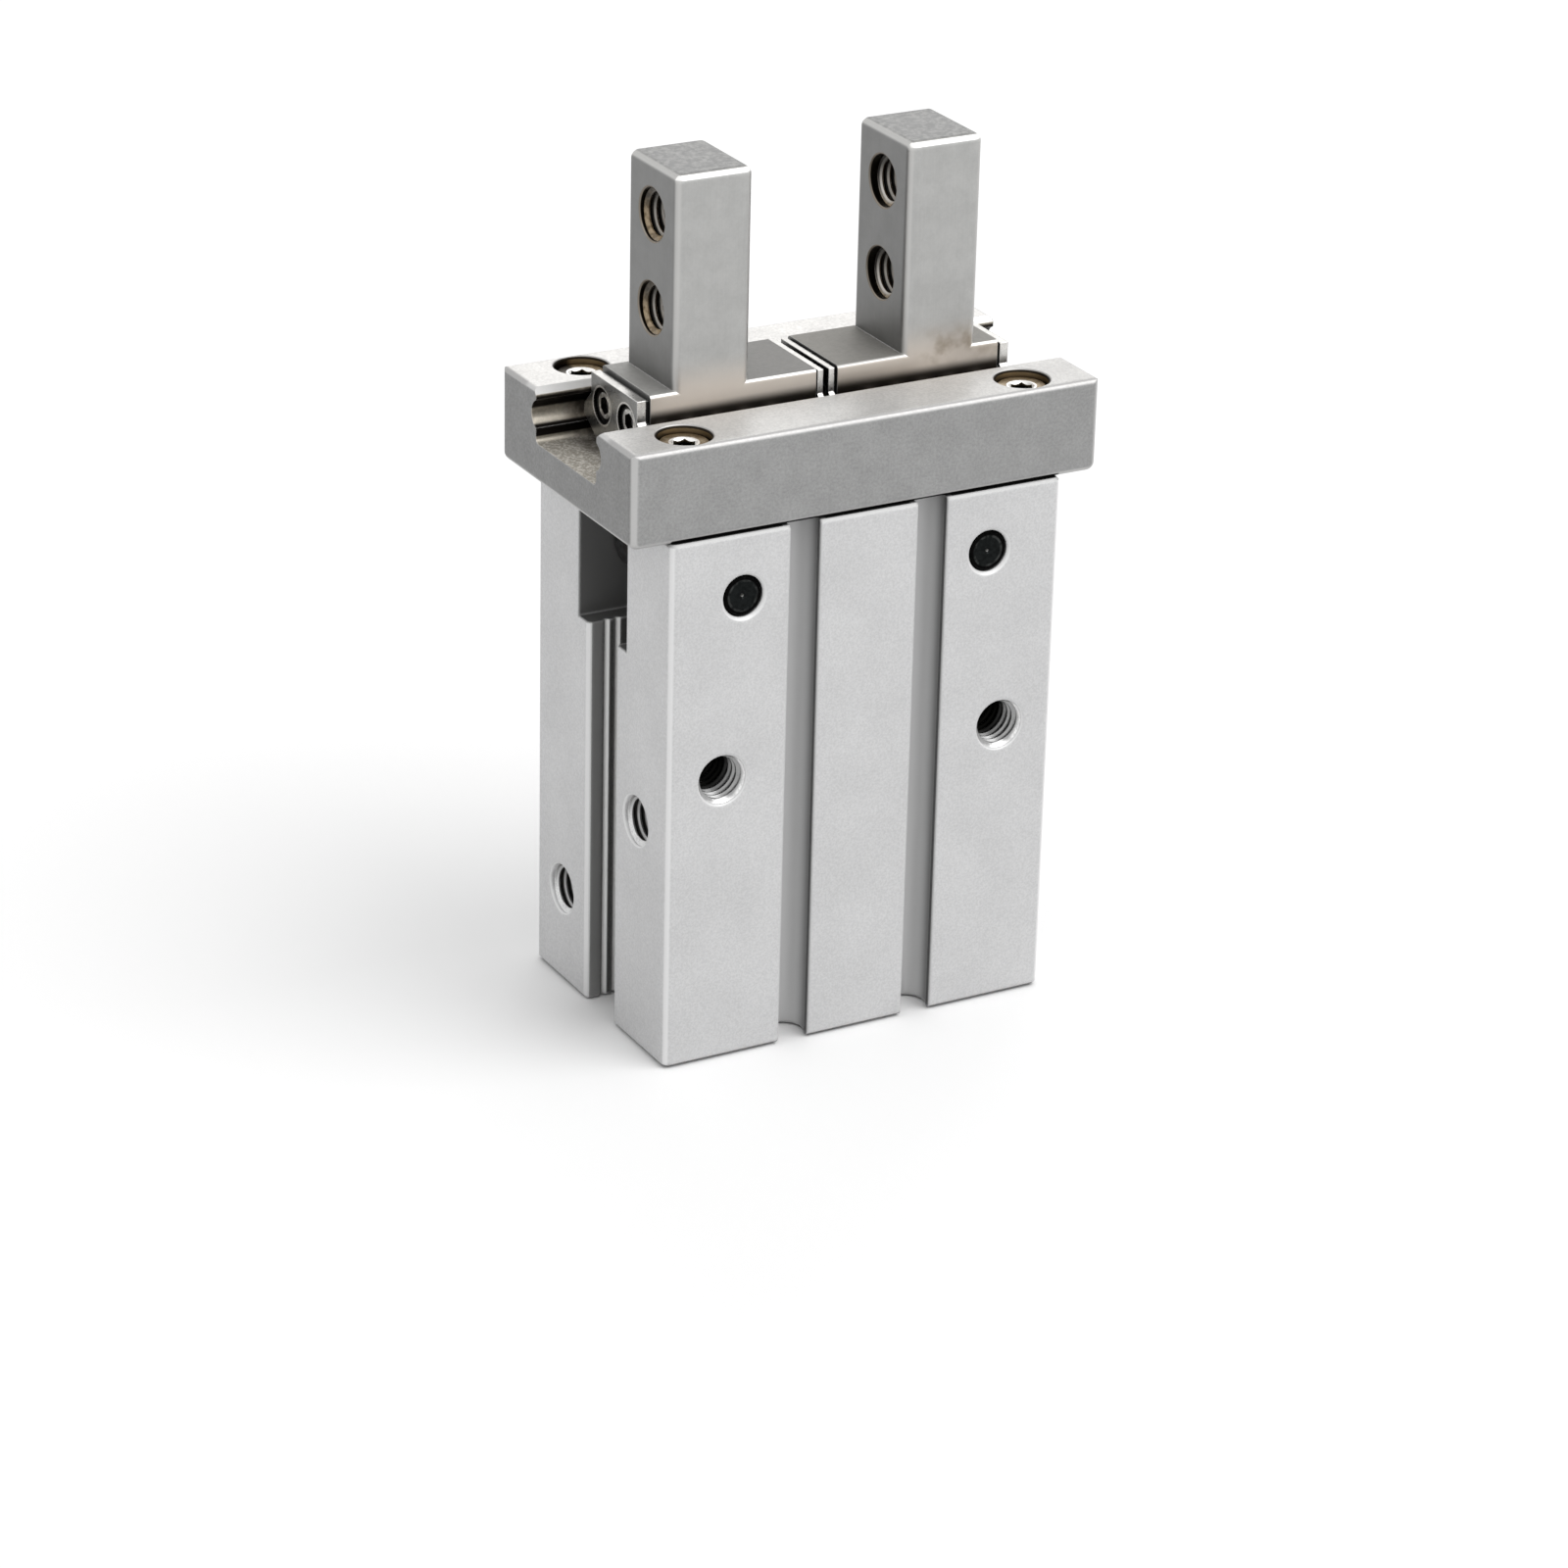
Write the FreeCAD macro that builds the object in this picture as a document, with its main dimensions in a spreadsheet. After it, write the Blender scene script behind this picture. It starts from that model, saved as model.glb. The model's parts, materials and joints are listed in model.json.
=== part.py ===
import FreeCAD, Part
import os
import re
import Sketcher

# Parallel gripper with two fingers on a U-shaped ball guide rail.
# +X runs along the fingers' travel, +Y to the rear, +Z up. The origin is the
# middle of the body's bottom face. Lengths are millimetres, angles degrees.
# It is drawn closed: the piston is down and the fingers are together.

doc = FreeCAD.newDocument("parallel_gripper")

# Driving sizes

SIZES = {
    # body: an extruded block, machined
    "body_width": 42.0,
    "body_depth": 27.6,
    "body_round": 0.7,
    "body_edge": 0.25,
    "lever_slot_width": 10.2,
    # wide sensor groove down both ends of the body, with toothed walls
    "side_groove_width": 5.9,
    "side_groove_depth": 5.0,
    "side_groove_mouth": 0.4,
    "tooth_depth": 0.35,
    "tooth_start": 1.95,
    "tooth_pitch": 1.15,
    # round sensor grooves down the front and the rear
    "round_groove_offset": 6.85,
    "round_groove_opening": 3.3,
    "round_groove_diameter": 4.0,
    "round_groove_inset": 1.9,
    # bore and what closes it
    "bore_diameter": 20.0,
    "bore_mouth": 0.4,
    "ring_inset": 1.4,
    "ring_thickness": 1.0,
    "ring_groove_depth": 0.75,
    "ring_reach": 1.5,
    "ring_gap": 5.0,
    "ring_lug": 2.4,
    "ring_lug_hole": 1.1,
    "cap_thickness": 6.0,
    "cap_seal_section": 1.5,
    # air ports in the left end
    "port_diameter": 5.0,
    "port_depth": 5.0,
    "port_passage": 2.0,
    "upper_port_offset": 7.3,
    "upper_port_drop": 3.5,
    "lower_port_offset": 8.3,
    "lower_port_rise": 1.3,
    # tapped holes that hold the gripper
    "mount_diameter": 5.0,
    "mount_spacing": 30.4,
    "mount_height": 29.2,
    "mount_depth": 8.0,
    "base_thread_diameter": 4.0,
    "base_thread_depth": 6.0,
    "base_spacing_x": 30.0,
    "base_spacing_y": 19.0,
    "thread_mouth": 0.15,
    # guide rail
    "rail_length": 50.0,
    "rail_setback": 0.1,
    "rail_height": 9.4,
    "rail_edge": 0.6,
    "rail_corner": 0.9,
    "channel_width": 12.6,
    "channel_floor": 4.05,
    "channel_corner": 0.6,
    "channel_bevel": 0.6,
    "window_gap": 0.4,
    # balls and their races
    "ball_diameter": 2.9,
    "ball_spacing": 0.03,
    "ball_row_offset": 5.75,
    "ball_row_height": 6.9,
    "race_gap": 0.05,
    # screws and pins of the rail
    "bolt_spacing_x": 36.2,
    "bolt_spacing_y": 21.0,
    "bolt_diameter": 3.0,
    "bolt_length": 10.0,
    "bolt_hole_gap": 0.15,
    "bolt_end_gap": 1.0,
    "bolt_head_diameter": 5.0,
    "bolt_head_height": 3.0,
    "bolt_head_gap": 0.12,
    "bolt_head_inset": 0.7,
    "bolt_head_edge": 0.2,
    "bolt_mouth": 0.2,
    "bolt_socket": 2.0,
    "bolt_socket_depth": 1.5,
    "bolt_socket_mouth": 0.25,
    "dowel_diameter": 2.5,
    "dowel_length": 6.5,
    "dowel_in_rail": 3.0,
    "dowel_spacing": 19.0,
    # fingers
    "finger_inset": 2.45,
    "finger_thickness": 8.0,
    "finger_width": 9.8,
    "finger_height": 20.8,
    "finger_edge": 0.8,
    "slide_rise": 2.0,
    "rail_end_gap": 0.03,
    "slide_floor_gap": 0.3,
    "slide_edge": 0.4,
    "middle_gap": 0.6,
    "finger_thread_diameter": 5.0,
    "finger_thread_inset": 5.0,
    "finger_thread_spacing": 9.1,
    # end plates of the slides: the two that meet in the middle are thinner
    "plate_thickness": 0.9,
    "plate_drop": 0.45,
    "inner_plate_thickness": 0.6,
    "inner_plate_drop": 0.2,
    "plate_inset": 0.2,
    "plate_ear_reach": 0.15,
    "plate_ear_height": 1.0,
    "plate_foot_gap": 0.75,
    "plate_foot_taper": 1.0,
    "gasket_thickness": 0.38,
    "inner_gasket_thickness": 0.25,
    "gasket_inset": 0.2,
    "plate_screw_spacing": 5.0,
    "plate_screw_inset": 3.2,
    "plate_screw_diameter": 2.0,
    "plate_screw_length": 4.0,
    "plate_screw_head": 2.9,
    "plate_screw_sink": 0.3,
    "plate_screw_ring": 0.15,
    "plate_screw_mouth": 3.5,
    "plate_screw_socket": 1.6,
    "plate_screw_socket_depth": 0.6,
    "plate_screw_gap": 0.1,
    # levers and their pins
    "pivot_spacing": 26.5,
    "pivot_drop": 6.3,
    "pivot_diameter": 4.2,
    "pivot_end_inset": 0.3,
    "pivot_mouth": 0.3,
    "pivot_edge": 0.25,
    "pivot_mark": 0.3,
    "swing": 24.0,
    "upper_arm": 12.0,
    "inner_arm": 8.65,
    "lever_hub": 8.2,
    "lever_hub_gap": 0.3,
    "lever_thickness": 5.0,
    "lever_tip": 3.0,
    "upper_root": 6.0,
    "upper_neck": 2.0,
    "inner_root": 5.0,
    "inner_neck": 1.8,
    "shaft_gap": 0.03,
    "tip_gap": 0.05,
    "tip_end_gap": 0.25,
    # slotted head of the piston rod
    "joint_reach": 0.9,
    "joint_depth": 9.2,
    "joint_above": 3.9,
    "joint_below": 4.3,
    "joint_slot_gap": 0.1,
    "joint_edge": 0.3,
    "joint_floor_gap": 1.405,
    # piston rod and what it runs in
    "rod_diameter": 6.0,
    "rod_top_thread": 4.0,
    "rod_top_length": 7.5,
    "rod_foot_thread": 5.0,
    "bush_diameter": 9.0,
    "bush_length": 8.0,
    "seal_diameter": 11.0,
    "seal_height": 3.0,
    "retainer_height": 1.0,
    "seal_web": 1.0,
    # piston
    "piston_height": 9.6,
    "piston_gap": 0.1,
    "piston_skirt": 4.2,
    "piston_seal_height": 2.0,
    "piston_seal_depth": 1.6,
    "magnet_inset": 0.3,
    "piston_top_inset": 1.5,
    "piston_top_height": 2.2,
    "piston_hub": 11.0,
    "nut_width": 8.0,
    "nut_height": 2.7,
    "nut_gap": 0.3,
    "bumper_height": 2.4,
    "bumper_gap": 0.3,
    "bumper_width": 3.0,
    "bumper_bore": 9.0,
}

# Places that follow from the sizes

PLACES = {
    "half_width": "body_width / 2",
    "half_depth": "body_depth / 2",
    "half_swing": "swing / 2 * 1 deg",
    "finger_stroke": "2 * upper_arm * sin(half_swing)",
    "piston_stroke": "2 * inner_arm * sin(half_swing)",
    "cap_bottom": "ring_inset + ring_thickness",
    "cap_top": "cap_bottom + cap_thickness",
    "piston_bottom": "cap_top + bumper_height + bumper_gap",
    "piston_upper": "piston_bottom + piston_height",
    "bore_top": "piston_upper + piston_stroke + bumper_gap + bumper_height",
    "bore_radius": "bore_diameter / 2",
    "seal_top": "bore_top + retainer_height + seal_height",
    "slot_floor": "seal_top + seal_web + bush_length",
    "joint_bottom": "slot_floor + joint_floor_gap",
    "joint_line": "joint_bottom + joint_below",
    "joint_top": "joint_line + joint_above",
    "pivot_z": "joint_line + inner_arm * sin(half_swing)",
    "body_height": "pivot_z + pivot_drop",
    "upper_port_height": "bore_top - upper_port_drop",
    "lower_port_height": "cap_top + lower_port_rise",
    "groove_line": "half_depth - round_groove_inset",
    "rail_depth": "body_depth - 2 * rail_setback",
    "rail_top": "body_height + rail_height",
    "channel_bottom": "body_height + channel_floor",
    "half_channel": "channel_width / 2",
    "ball_line": "body_height + ball_row_height",
    "ball_radius": "ball_diameter / 2",
    "race_radius": "ball_radius + race_gap",
    "bolt_seat": "rail_top - bolt_head_inset - bolt_head_height",
    "dowel_foot": "body_height + dowel_in_rail - dowel_length",
    "slide_bottom": "channel_bottom + slide_floor_gap",
    "slide_top": "rail_top + slide_rise",
    "slide_inner": "middle_gap / 2 + inner_plate_thickness + inner_gasket_thickness",
    "outer_face": "rail_length / 2 - rail_end_gap - finger_stroke",
    "slide_outer": "outer_face - plate_thickness - gasket_thickness",
    "slide_length": "slide_outer - slide_inner",
    "half_finger": "finger_width / 2",
    "finger_outer": "slide_outer - finger_inset",
    "finger_inner": "finger_outer - finger_thickness",
    "finger_top": "slide_top + finger_height",
    "upper_thread": "finger_top - finger_thread_inset",
    "lower_thread": "upper_thread - finger_thread_spacing",
    "plate_top": "slide_top - plate_drop",
    "inner_plate_top": "slide_top - inner_plate_drop",
    "plate_bottom": "channel_bottom + plate_foot_gap",
    "plate_half": "half_finger - plate_inset",
    "plate_ear": "half_channel - plate_ear_reach",
    "plate_screw_line": "slide_top - plate_screw_inset",
    "pivot_x": "pivot_spacing / 2",
    "pivot_radius": "pivot_diameter / 2",
    "tip_radius": "lever_tip / 2",
    "tip_x": "pivot_x - upper_arm * sin(half_swing)",
    "joint_web": "pivot_x - inner_arm - tip_radius - joint_slot_gap",
    "joint_half": "pivot_x - inner_arm * cos(half_swing) + joint_reach",
    "rod_radius": "rod_diameter / 2",
    "magnet_bottom": "piston_bottom + piston_skirt",
    "magnet_top": "piston_upper - piston_top_height",
    "seal_radius": "bore_radius - shaft_gap",
    "seal_floor": "piston_bottom + (piston_skirt - piston_seal_height) / 2",
    "bumper_outer": "bumper_bore / 2 + bumper_width",
    "ball_pitch": "ball_diameter + ball_spacing",
    "ball_count": "floor((slide_length - finger_stroke / 2) / ball_pitch)",
    "row_length": "ball_count * ball_pitch - ball_spacing",
    "row_end_gap": "(slide_length - row_length - finger_stroke / 2) / 2",
    "first_ball": "slide_outer - row_end_gap - ball_radius",
}

TEETH = 2
FLAT = 0.001
SIDES = {"left": -1, "right": 1}
FACES = {"front": -1, "rear": 1}
# The end plate, its gasket and its top edge at either end of a slide, with its visible face and its seat
ENDS = {
    "Inner": {"plate": "inner_plate_thickness", "gasket": "inner_gasket_thickness",
              "top": "inner_plate_top", "face": "middle_gap / 2", "seat": "slide_inner"},
    "Outer": {"plate": "plate_thickness", "gasket": "gasket_thickness",
              "top": "plate_top", "face": "outer_face", "seat": "slide_outer"},
}

HOME = {}
HOME.update({name: "Sizes." for name in SIZES})
HOME.update({name: "Places." for name in PLACES})


def full(formula, own=""):
    """Puts the sheet's name before each size or place in a formula."""

    def prefixed(match):
        home = HOME.get(match.group(), "")
        return match.group() if home == own else home + match.group()

    return re.sub(r"[a-z][a-z0-9_]*", prefixed, formula)


def make_sheet(name, cells):
    """Writes one cell with an alias for each entry."""
    sheet = doc.addObject("Spreadsheet::Sheet", name)
    for row, (alias, content) in enumerate(cells.items(), start=1):
        sheet.set(f"A{row}", alias)
        sheet.set(f"B{row}", content)
        sheet.setAlias(f"B{row}", alias)
    return sheet


make_sheet("Sizes", {name: str(value) for name, value in SIZES.items()})
places = make_sheet("Places", {name: "=" + full(text, "Places.") for name, text in PLACES.items()})
doc.recompute()


# Helpers that bind document objects to the sheets

AXES = {
    "x": FreeCAD.Rotation(FreeCAD.Vector(0, 1, 0), 90),
    "-x": FreeCAD.Rotation(FreeCAD.Vector(0, 1, 0), -90),
    "y": FreeCAD.Rotation(FreeCAD.Vector(1, 0, 0), -90),
    "-y": FreeCAD.Rotation(FreeCAD.Vector(1, 0, 0), 90),
    "z": FreeCAD.Rotation(),
}


def bind(item, **formulas):
    """Binds properties to formulas; at_x, at_y and at_z place the item."""
    for key, formula in formulas.items():
        prop = key.replace("at_", "Placement.Base.")
        item.setExpression(prop, full(formula))
    return item


def place(item, x="0", y="0", z="0"):
    return bind(item, at_x=x, at_y=y, at_z=z)


def box(name, x, y, z):
    """A box between pairs of formulas: (low, high) along each axis."""
    item = doc.addObject("Part::Box", name)
    bind(item, Length=f"({x[1]}) - ({x[0]})")
    bind(item, Width=f"({y[1]}) - ({y[0]})")
    bind(item, Height=f"({z[1]}) - ({z[0]})")
    return place(item, x[0], y[0], z[0])


def rod(name, radius, length, x="0", y="0", z="0", axis="z"):
    """A cylinder that starts at a point and runs along an axis."""
    item = doc.addObject("Part::Cylinder", name)
    bind(item, Radius=radius, Height=length)
    item.Placement = FreeCAD.Placement(FreeCAD.Vector(), AXES[axis])
    return place(item, x, y, z)


def cone(name, radius, tip_radius, length, x="0", y="0", z="0", axis="z"):
    """A cone frustum that starts at a point and runs along an axis."""
    item = doc.addObject("Part::Cone", name)
    bind(item, Radius1=radius, Radius2=tip_radius, Height=length)
    item.Placement = FreeCAD.Placement(FreeCAD.Vector(), AXES[axis])
    return place(item, x, y, z)


def hexagon(name, across, height, x="0", y="0", z="0", axis="z"):
    """A hexagonal prism, sized across its flats."""
    item = doc.addObject("Part::Prism", name)
    item.Polygon = 6
    bind(item, Circumradius=f"({across}) / sqrt(3)", Height=height)
    item.Placement = FreeCAD.Placement(FreeCAD.Vector(), AXES[axis])
    return place(item, x, y, z)


def bevel_bar(name, depth, length, x="0", y="0", z="0", axis="z"):
    """A square bar set on edge, which cuts a 45 degree bevel of that depth."""
    square = doc.addObject("Part::Prism", name)
    square.Polygon = 4
    bind(square, Circumradius=depth, Height=length)
    square.Placement = FreeCAD.Placement(FreeCAD.Vector(), AXES[axis])
    return place(square, x, y, z)


def fuse(name, items):
    item = doc.addObject("Part::MultiFuse", name)
    item.Shapes = items
    item.Refine = True
    return item


def common(name, items):
    item = doc.addObject("Part::MultiCommon", name)
    item.Shapes = items
    return item


def cut(name, base, tools):
    item = doc.addObject("Part::Cut", name)
    item.Base = base
    item.Tool = tools[0] if len(tools) == 1 else fuse(name + "Tools", tools)
    item.Refine = True
    return item


def group(name, items):
    item = doc.addObject("Part::Compound", name)
    item.Links = items
    return item


def tube(name, outer, inner, length, x="0", y="0", z="0", axis="z"):
    """A cylinder with a round hole through it."""
    wall = rod(name + "Outer", outer, length, x, y, z, axis)
    hole = rod(name + "Inner", inner, length, x, y, z, axis)
    return cut(name, wall, [hole])


def edge_names(shape, test):
    """Names of the edges that pass a test of their own box and the whole shape's."""
    whole = shape.BoundBox
    return [f"Edge{i}" for i, edge in enumerate(shape.Edges, start=1) if test(edge.BoundBox, whole)]


def every(edge, whole):
    return edge.DiagonalLength > 0


def upright(edge, whole):
    return edge.ZLength > FLAT


def level(edge, whole):
    return edge.ZLength < FLAT


def above_foot(edge, whole):
    return edge.ZMax > whole.ZMin + FLAT


def along_foot(edge, whole):
    return edge.ZMax < whole.ZMin + FLAT and edge.YLength < FLAT


def top(edge, whole):
    return edge.ZMin > whole.ZMax - FLAT


def below_top(edge, whole):
    return not top(edge, whole)


def along_top(edge, whole):
    return top(edge, whole) and edge.YLength < FLAT


def dressed_box(name, x, y, z, rounds=(), bevels=()):
    """A box whose edges are rounded or bevelled; each entry is (edge test, size)."""
    body = doc.addObject("PartDesign::Body", name)
    last = body.newObject("PartDesign::AdditiveBox", name + "Core")
    bind(last, Length=f"({x[1]}) - ({x[0]})")
    bind(last, Width=f"({y[1]}) - ({y[0]})")
    bind(last, Height=f"({z[1]}) - ({z[0]})")
    place(last, x[0], y[0], z[0])
    for kind, prop, entries in (("Fillet", "Radius", rounds), ("Chamfer", "Size", bevels)):
        for number, (test, size) in enumerate(entries, start=1):
            doc.recompute()
            feature = body.newObject("PartDesign::" + kind, f"{name}{kind}{number}")
            feature.Base = (last, edge_names(last.Shape, test))
            bind(feature, **{prop: size})
            last = feature
    body.Tip = last
    return body


def outline(name, points, plane):
    """A closed sketch through points, each a pair of formulas bound as distances."""
    sketch = doc.addObject("Sketcher::SketchObject", name)
    turn = {
        "yz": (FreeCAD.Vector(0, 1, 0), FreeCAD.Vector(0, 0, 1), FreeCAD.Vector(1, 0, 0)),
        "xz": (FreeCAD.Vector(1, 0, 0), FreeCAD.Vector(0, 0, 1), FreeCAD.Vector(0, -1, 0)),
    }[plane]
    sketch.Placement = FreeCAD.Placement(FreeCAD.Vector(), FreeCAD.Rotation(*turn, "ZXY"))
    spots = [tuple(float(sketch.evalExpression(full(text))) for text in point) for point in points]
    count = len(points)
    for i in range(count):
        start = FreeCAD.Vector(*spots[i], 0)
        end = FreeCAD.Vector(*spots[(i + 1) % count], 0)
        sketch.addGeometry(Part.LineSegment(start, end), False)
    for i in range(count):
        sketch.addConstraint(Sketcher.Constraint("Coincident", i, 2, (i + 1) % count, 1))
    for i, (point, spot) in enumerate(zip(points, spots)):
        for kind, text, value in zip(("DistanceX", "DistanceY"), point, spot):
            ends = (-1, 1, i, 1) if value >= 0 else (i, 1, -1, 1)
            formula = text if value >= 0 else f"-({text})"
            number = sketch.addConstraint(Sketcher.Constraint(kind, *ends, abs(value)))
            sketch.renameConstraint(number, f"{kind}{i}")
            sketch.setExpression(f"Constraints.{kind}{i}", full(formula))
    return sketch


def plate(name, points, plane, start, length):
    """An outline made into a solid of some length, from a start across its plane."""
    item = doc.addObject("Part::Extrusion", name)
    item.Base = outline(name + "Outline", points, plane)
    item.DirMode = "Custom"
    item.Dir = {"yz": FreeCAD.Vector(1, 0, 0), "xz": FreeCAD.Vector(0, 1, 0)}[plane]
    item.Solid = True
    bind(item, LengthFwd=length)
    return place(item, **{{"yz": "x", "xz": "y"}[plane]: start})


def span(sign, low, high):
    """A range on the right side, or its mirror image on the left."""
    return (low, high) if sign > 0 else (f"-({high})", f"-({low})")


def signed(sign, formula):
    return formula if sign > 0 else f"-({formula})"


NODES = []


def node(name, item):
    """Names a finished sub-part."""
    item.Label = name
    NODES.append(item)
    return item


# Body

def tapped_hole(name, diameter, depth, x, y, z, axis):
    """A hole that starts just outside its face, with a bevelled mouth."""
    hole = rod(name, f"{diameter} / 2", depth, x, y, z, axis)
    mouth_radius = f"{diameter} / 2 + thread_mouth"
    mouth = cone(name + "Mouth", mouth_radius, f"{diameter} / 2", "thread_mouth", x, y, z, axis)
    return [hole, mouth]


def side_groove(side, sign):
    """The wide groove down one end of the body, with teeth in both its walls."""
    tools = [box(f"Groove_{side}", span(sign, "half_width - side_groove_depth", "body_width"),
                 ("-side_groove_width / 2", "side_groove_width / 2"), ("-body_height", "body_height"))]
    for face_name, face in FACES.items():
        line = signed(face, "side_groove_width / 2")
        name = f"Groove_{side}_{face_name}"
        tools.append(bevel_bar(name + "Mouth", "side_groove_mouth", "2 * body_height",
                               signed(sign, "half_width"), line, "-body_height"))
        for tooth in range(TEETH):
            inset = f"half_width - tooth_start - {tooth} * tooth_pitch"
            tools.append(bevel_bar(f"{name}Tooth{tooth}", "tooth_depth", "2 * body_height",
                                   signed(sign, inset), line, "-body_height"))
    return tools


def round_groove(name, sign_x, sign_y):
    """One round sensor groove, with its narrower opening."""
    x = signed(sign_x, "round_groove_offset")
    bore = rod(name, "round_groove_diameter / 2", "2 * body_height",
               x, signed(sign_y, "groove_line"), "-body_height")
    mouth = box(name + "Opening", (f"{x} - round_groove_opening / 2", f"{x} + round_groove_opening / 2"),
                span(sign_y, "groove_line", "body_depth"), ("-body_height", "rail_top"))
    return [bore, mouth]


def bore_tools():
    """The piston's bore with its ring groove, and the rod's holes in the middle wall."""
    return [
        rod("Bore", "bore_radius", "2 * bore_top", z="-bore_top"),
        cone("BoreMouth", "bore_radius + bore_mouth", "bore_radius", "bore_mouth"),
        rod("RingGroove", "bore_radius + ring_groove_depth", "ring_thickness", z="ring_inset"),
        rod("SealPocket", "seal_diameter / 2", "seal_top - bore_top", z="bore_top"),
        rod("RodHole", "rod_radius + bolt_hole_gap", "slot_floor - bore_top", z="bore_top"),
        rod("BushHole", "bush_diameter / 2", "2 * bush_length", z="slot_floor - bush_length"),
    ]


def port(name, y, z):
    """An air port in the left end, with its passage into the bore."""
    threads = tapped_hole(name, "port_diameter", "port_depth", "-half_width", y, z, "x")
    passage = rod(name + "Passage", "port_passage / 2", "half_width", "-half_width", y, z, "x")
    return threads + [passage]


def pivot_hole(side, sign):
    """The hole for a lever's pin, through the body from front to rear."""
    x = signed(sign, "pivot_x")
    hole = rod(f"PivotHole_{side}", "pivot_radius", "body_depth", x, "-half_depth", "pivot_z", "y")
    mouths = [cone(f"PivotMouth_{side}_{name}", "pivot_radius + pivot_mouth", "pivot_radius",
                   "pivot_mouth", x, signed(face, "half_depth"), "pivot_z", "-y" if face > 0 else "y")
              for name, face in FACES.items()]
    return [hole] + mouths


def corners(spacing_x, spacing_y):
    """The four corners of a rectangle about the middle, as formulas."""
    return [(signed(i, f"{spacing_x} / 2"), signed(j, f"{spacing_y} / 2"))
            for i in (-1, 1) for j in (-1, 1)]


def make_body():
    block = dressed_box("BodyBlock", ("-half_width", "half_width"), ("-half_depth", "half_depth"),
                        ("0", "body_height"), rounds=[(upright, "body_round")],
                        bevels=[(level, "body_edge")])
    tools = [box("LeverSlot", ("-body_width", "body_width"),
                 ("-lever_slot_width / 2", "lever_slot_width / 2"), ("slot_floor", "rail_top"))]
    for side, sign in SIDES.items():
        tools += side_groove(side, sign)
        tools += round_groove(f"RoundGroove_{side}_front", sign, -1)
        tools += round_groove(f"RoundGroove_{side}_rear", sign, 1)
        tools += pivot_hole(side, sign)
        tools += tapped_hole(f"Mount_{side}", "mount_diameter", "mount_depth",
                             signed(sign, "mount_spacing / 2"), "-half_depth", "mount_height", "y")
    tools += bore_tools()
    tools += port("UpperPort", "-upper_port_offset", "upper_port_height")
    tools += port("LowerPort", "lower_port_offset", "lower_port_height")
    for i, (x, y) in enumerate(corners("base_spacing_x", "base_spacing_y")):
        tools += tapped_hole(f"BaseThread{i}", "base_thread_diameter", "base_thread_depth", x, y, "0", "z")
    for i, (x, y) in enumerate(corners("bolt_spacing_x", "bolt_spacing_y")):
        tools.append(rod(f"BoltThread{i}", "bolt_diameter / 2", "bolt_length + bolt_end_gap",
                         x, y, "bolt_seat - bolt_length - bolt_end_gap"))
    for name, face in FACES.items():
        tools.append(rod(f"BodyDowelHole_{name}", "dowel_diameter / 2", "dowel_length",
                         "0", signed(face, "dowel_spacing / 2"), "dowel_foot"))
    return cut("BodyPiece", block, tools)


# Guide rail and what holds it

def make_rail():
    size = (("-rail_length / 2", "rail_length / 2"), ("-rail_depth / 2", "rail_depth / 2"),
            ("body_height", "rail_top"))
    block = common("RailBlock", [
        dressed_box("RailCorners", *size, rounds=[(below_top, "rail_corner")]),
        dressed_box("RailEdges", *size, rounds=[(top, "rail_edge")])])
    channel = dressed_box("Channel", ("-rail_length", "rail_length"), ("-half_channel", "half_channel"),
                          ("channel_bottom", "rail_top + rail_height"),
                          rounds=[(along_foot, "channel_corner")])
    tools = [channel]
    for name, face in FACES.items():
        tools.append(bevel_bar(f"ChannelBevel_{name}", "channel_bevel", "2 * rail_length",
                               "-rail_length", signed(face, "half_channel"), "rail_top", "x"))
        tools.append(rod(f"RailRace_{name}", "race_radius", "2 * rail_length",
                         "-rail_length", signed(face, "ball_row_offset"), "ball_line", "x"))
        tools.append(rod(f"RailDowelHole_{name}", "dowel_diameter / 2", "dowel_length",
                         "0", signed(face, "dowel_spacing / 2"), "dowel_foot"))
    for i, (x, y) in enumerate(corners("bolt_spacing_x", "bolt_spacing_y")):
        tools.append(rod(f"BoltHole{i}", "bolt_diameter / 2 + bolt_hole_gap", "rail_height",
                         x, y, "body_height"))
        radius = "bolt_head_diameter / 2 + bolt_head_gap"
        tools.append(rod(f"Counterbore{i}", radius, "rail_top - bolt_seat", x, y, "bolt_seat"))
        tools.append(cone(f"BoltMouth{i}", radius, f"{radius} + bolt_mouth", "bolt_mouth",
                          x, y, "rail_top - bolt_mouth"))
    for side, sign in SIDES.items():
        middle = signed(sign, "pivot_x")
        reach = "(channel_bottom - pivot_z) * tan(half_swing)"
        neck = "upper_root / 2 / cos(half_swing)"
        taper = "(upper_root - upper_neck) / 2 * (channel_bottom - pivot_z) / upper_arm"
        half_window = f"({reach} + {neck} - {taper} + window_gap)"
        tools.append(box(f"Window_{side}", (f"{middle} - {half_window}", f"{middle} + {half_window}"),
                         ("-lever_thickness / 2 - window_gap", "lever_thickness / 2 + window_gap"),
                         ("slot_floor", "rail_top")))
    return cut("RailPiece", block, tools)


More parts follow.
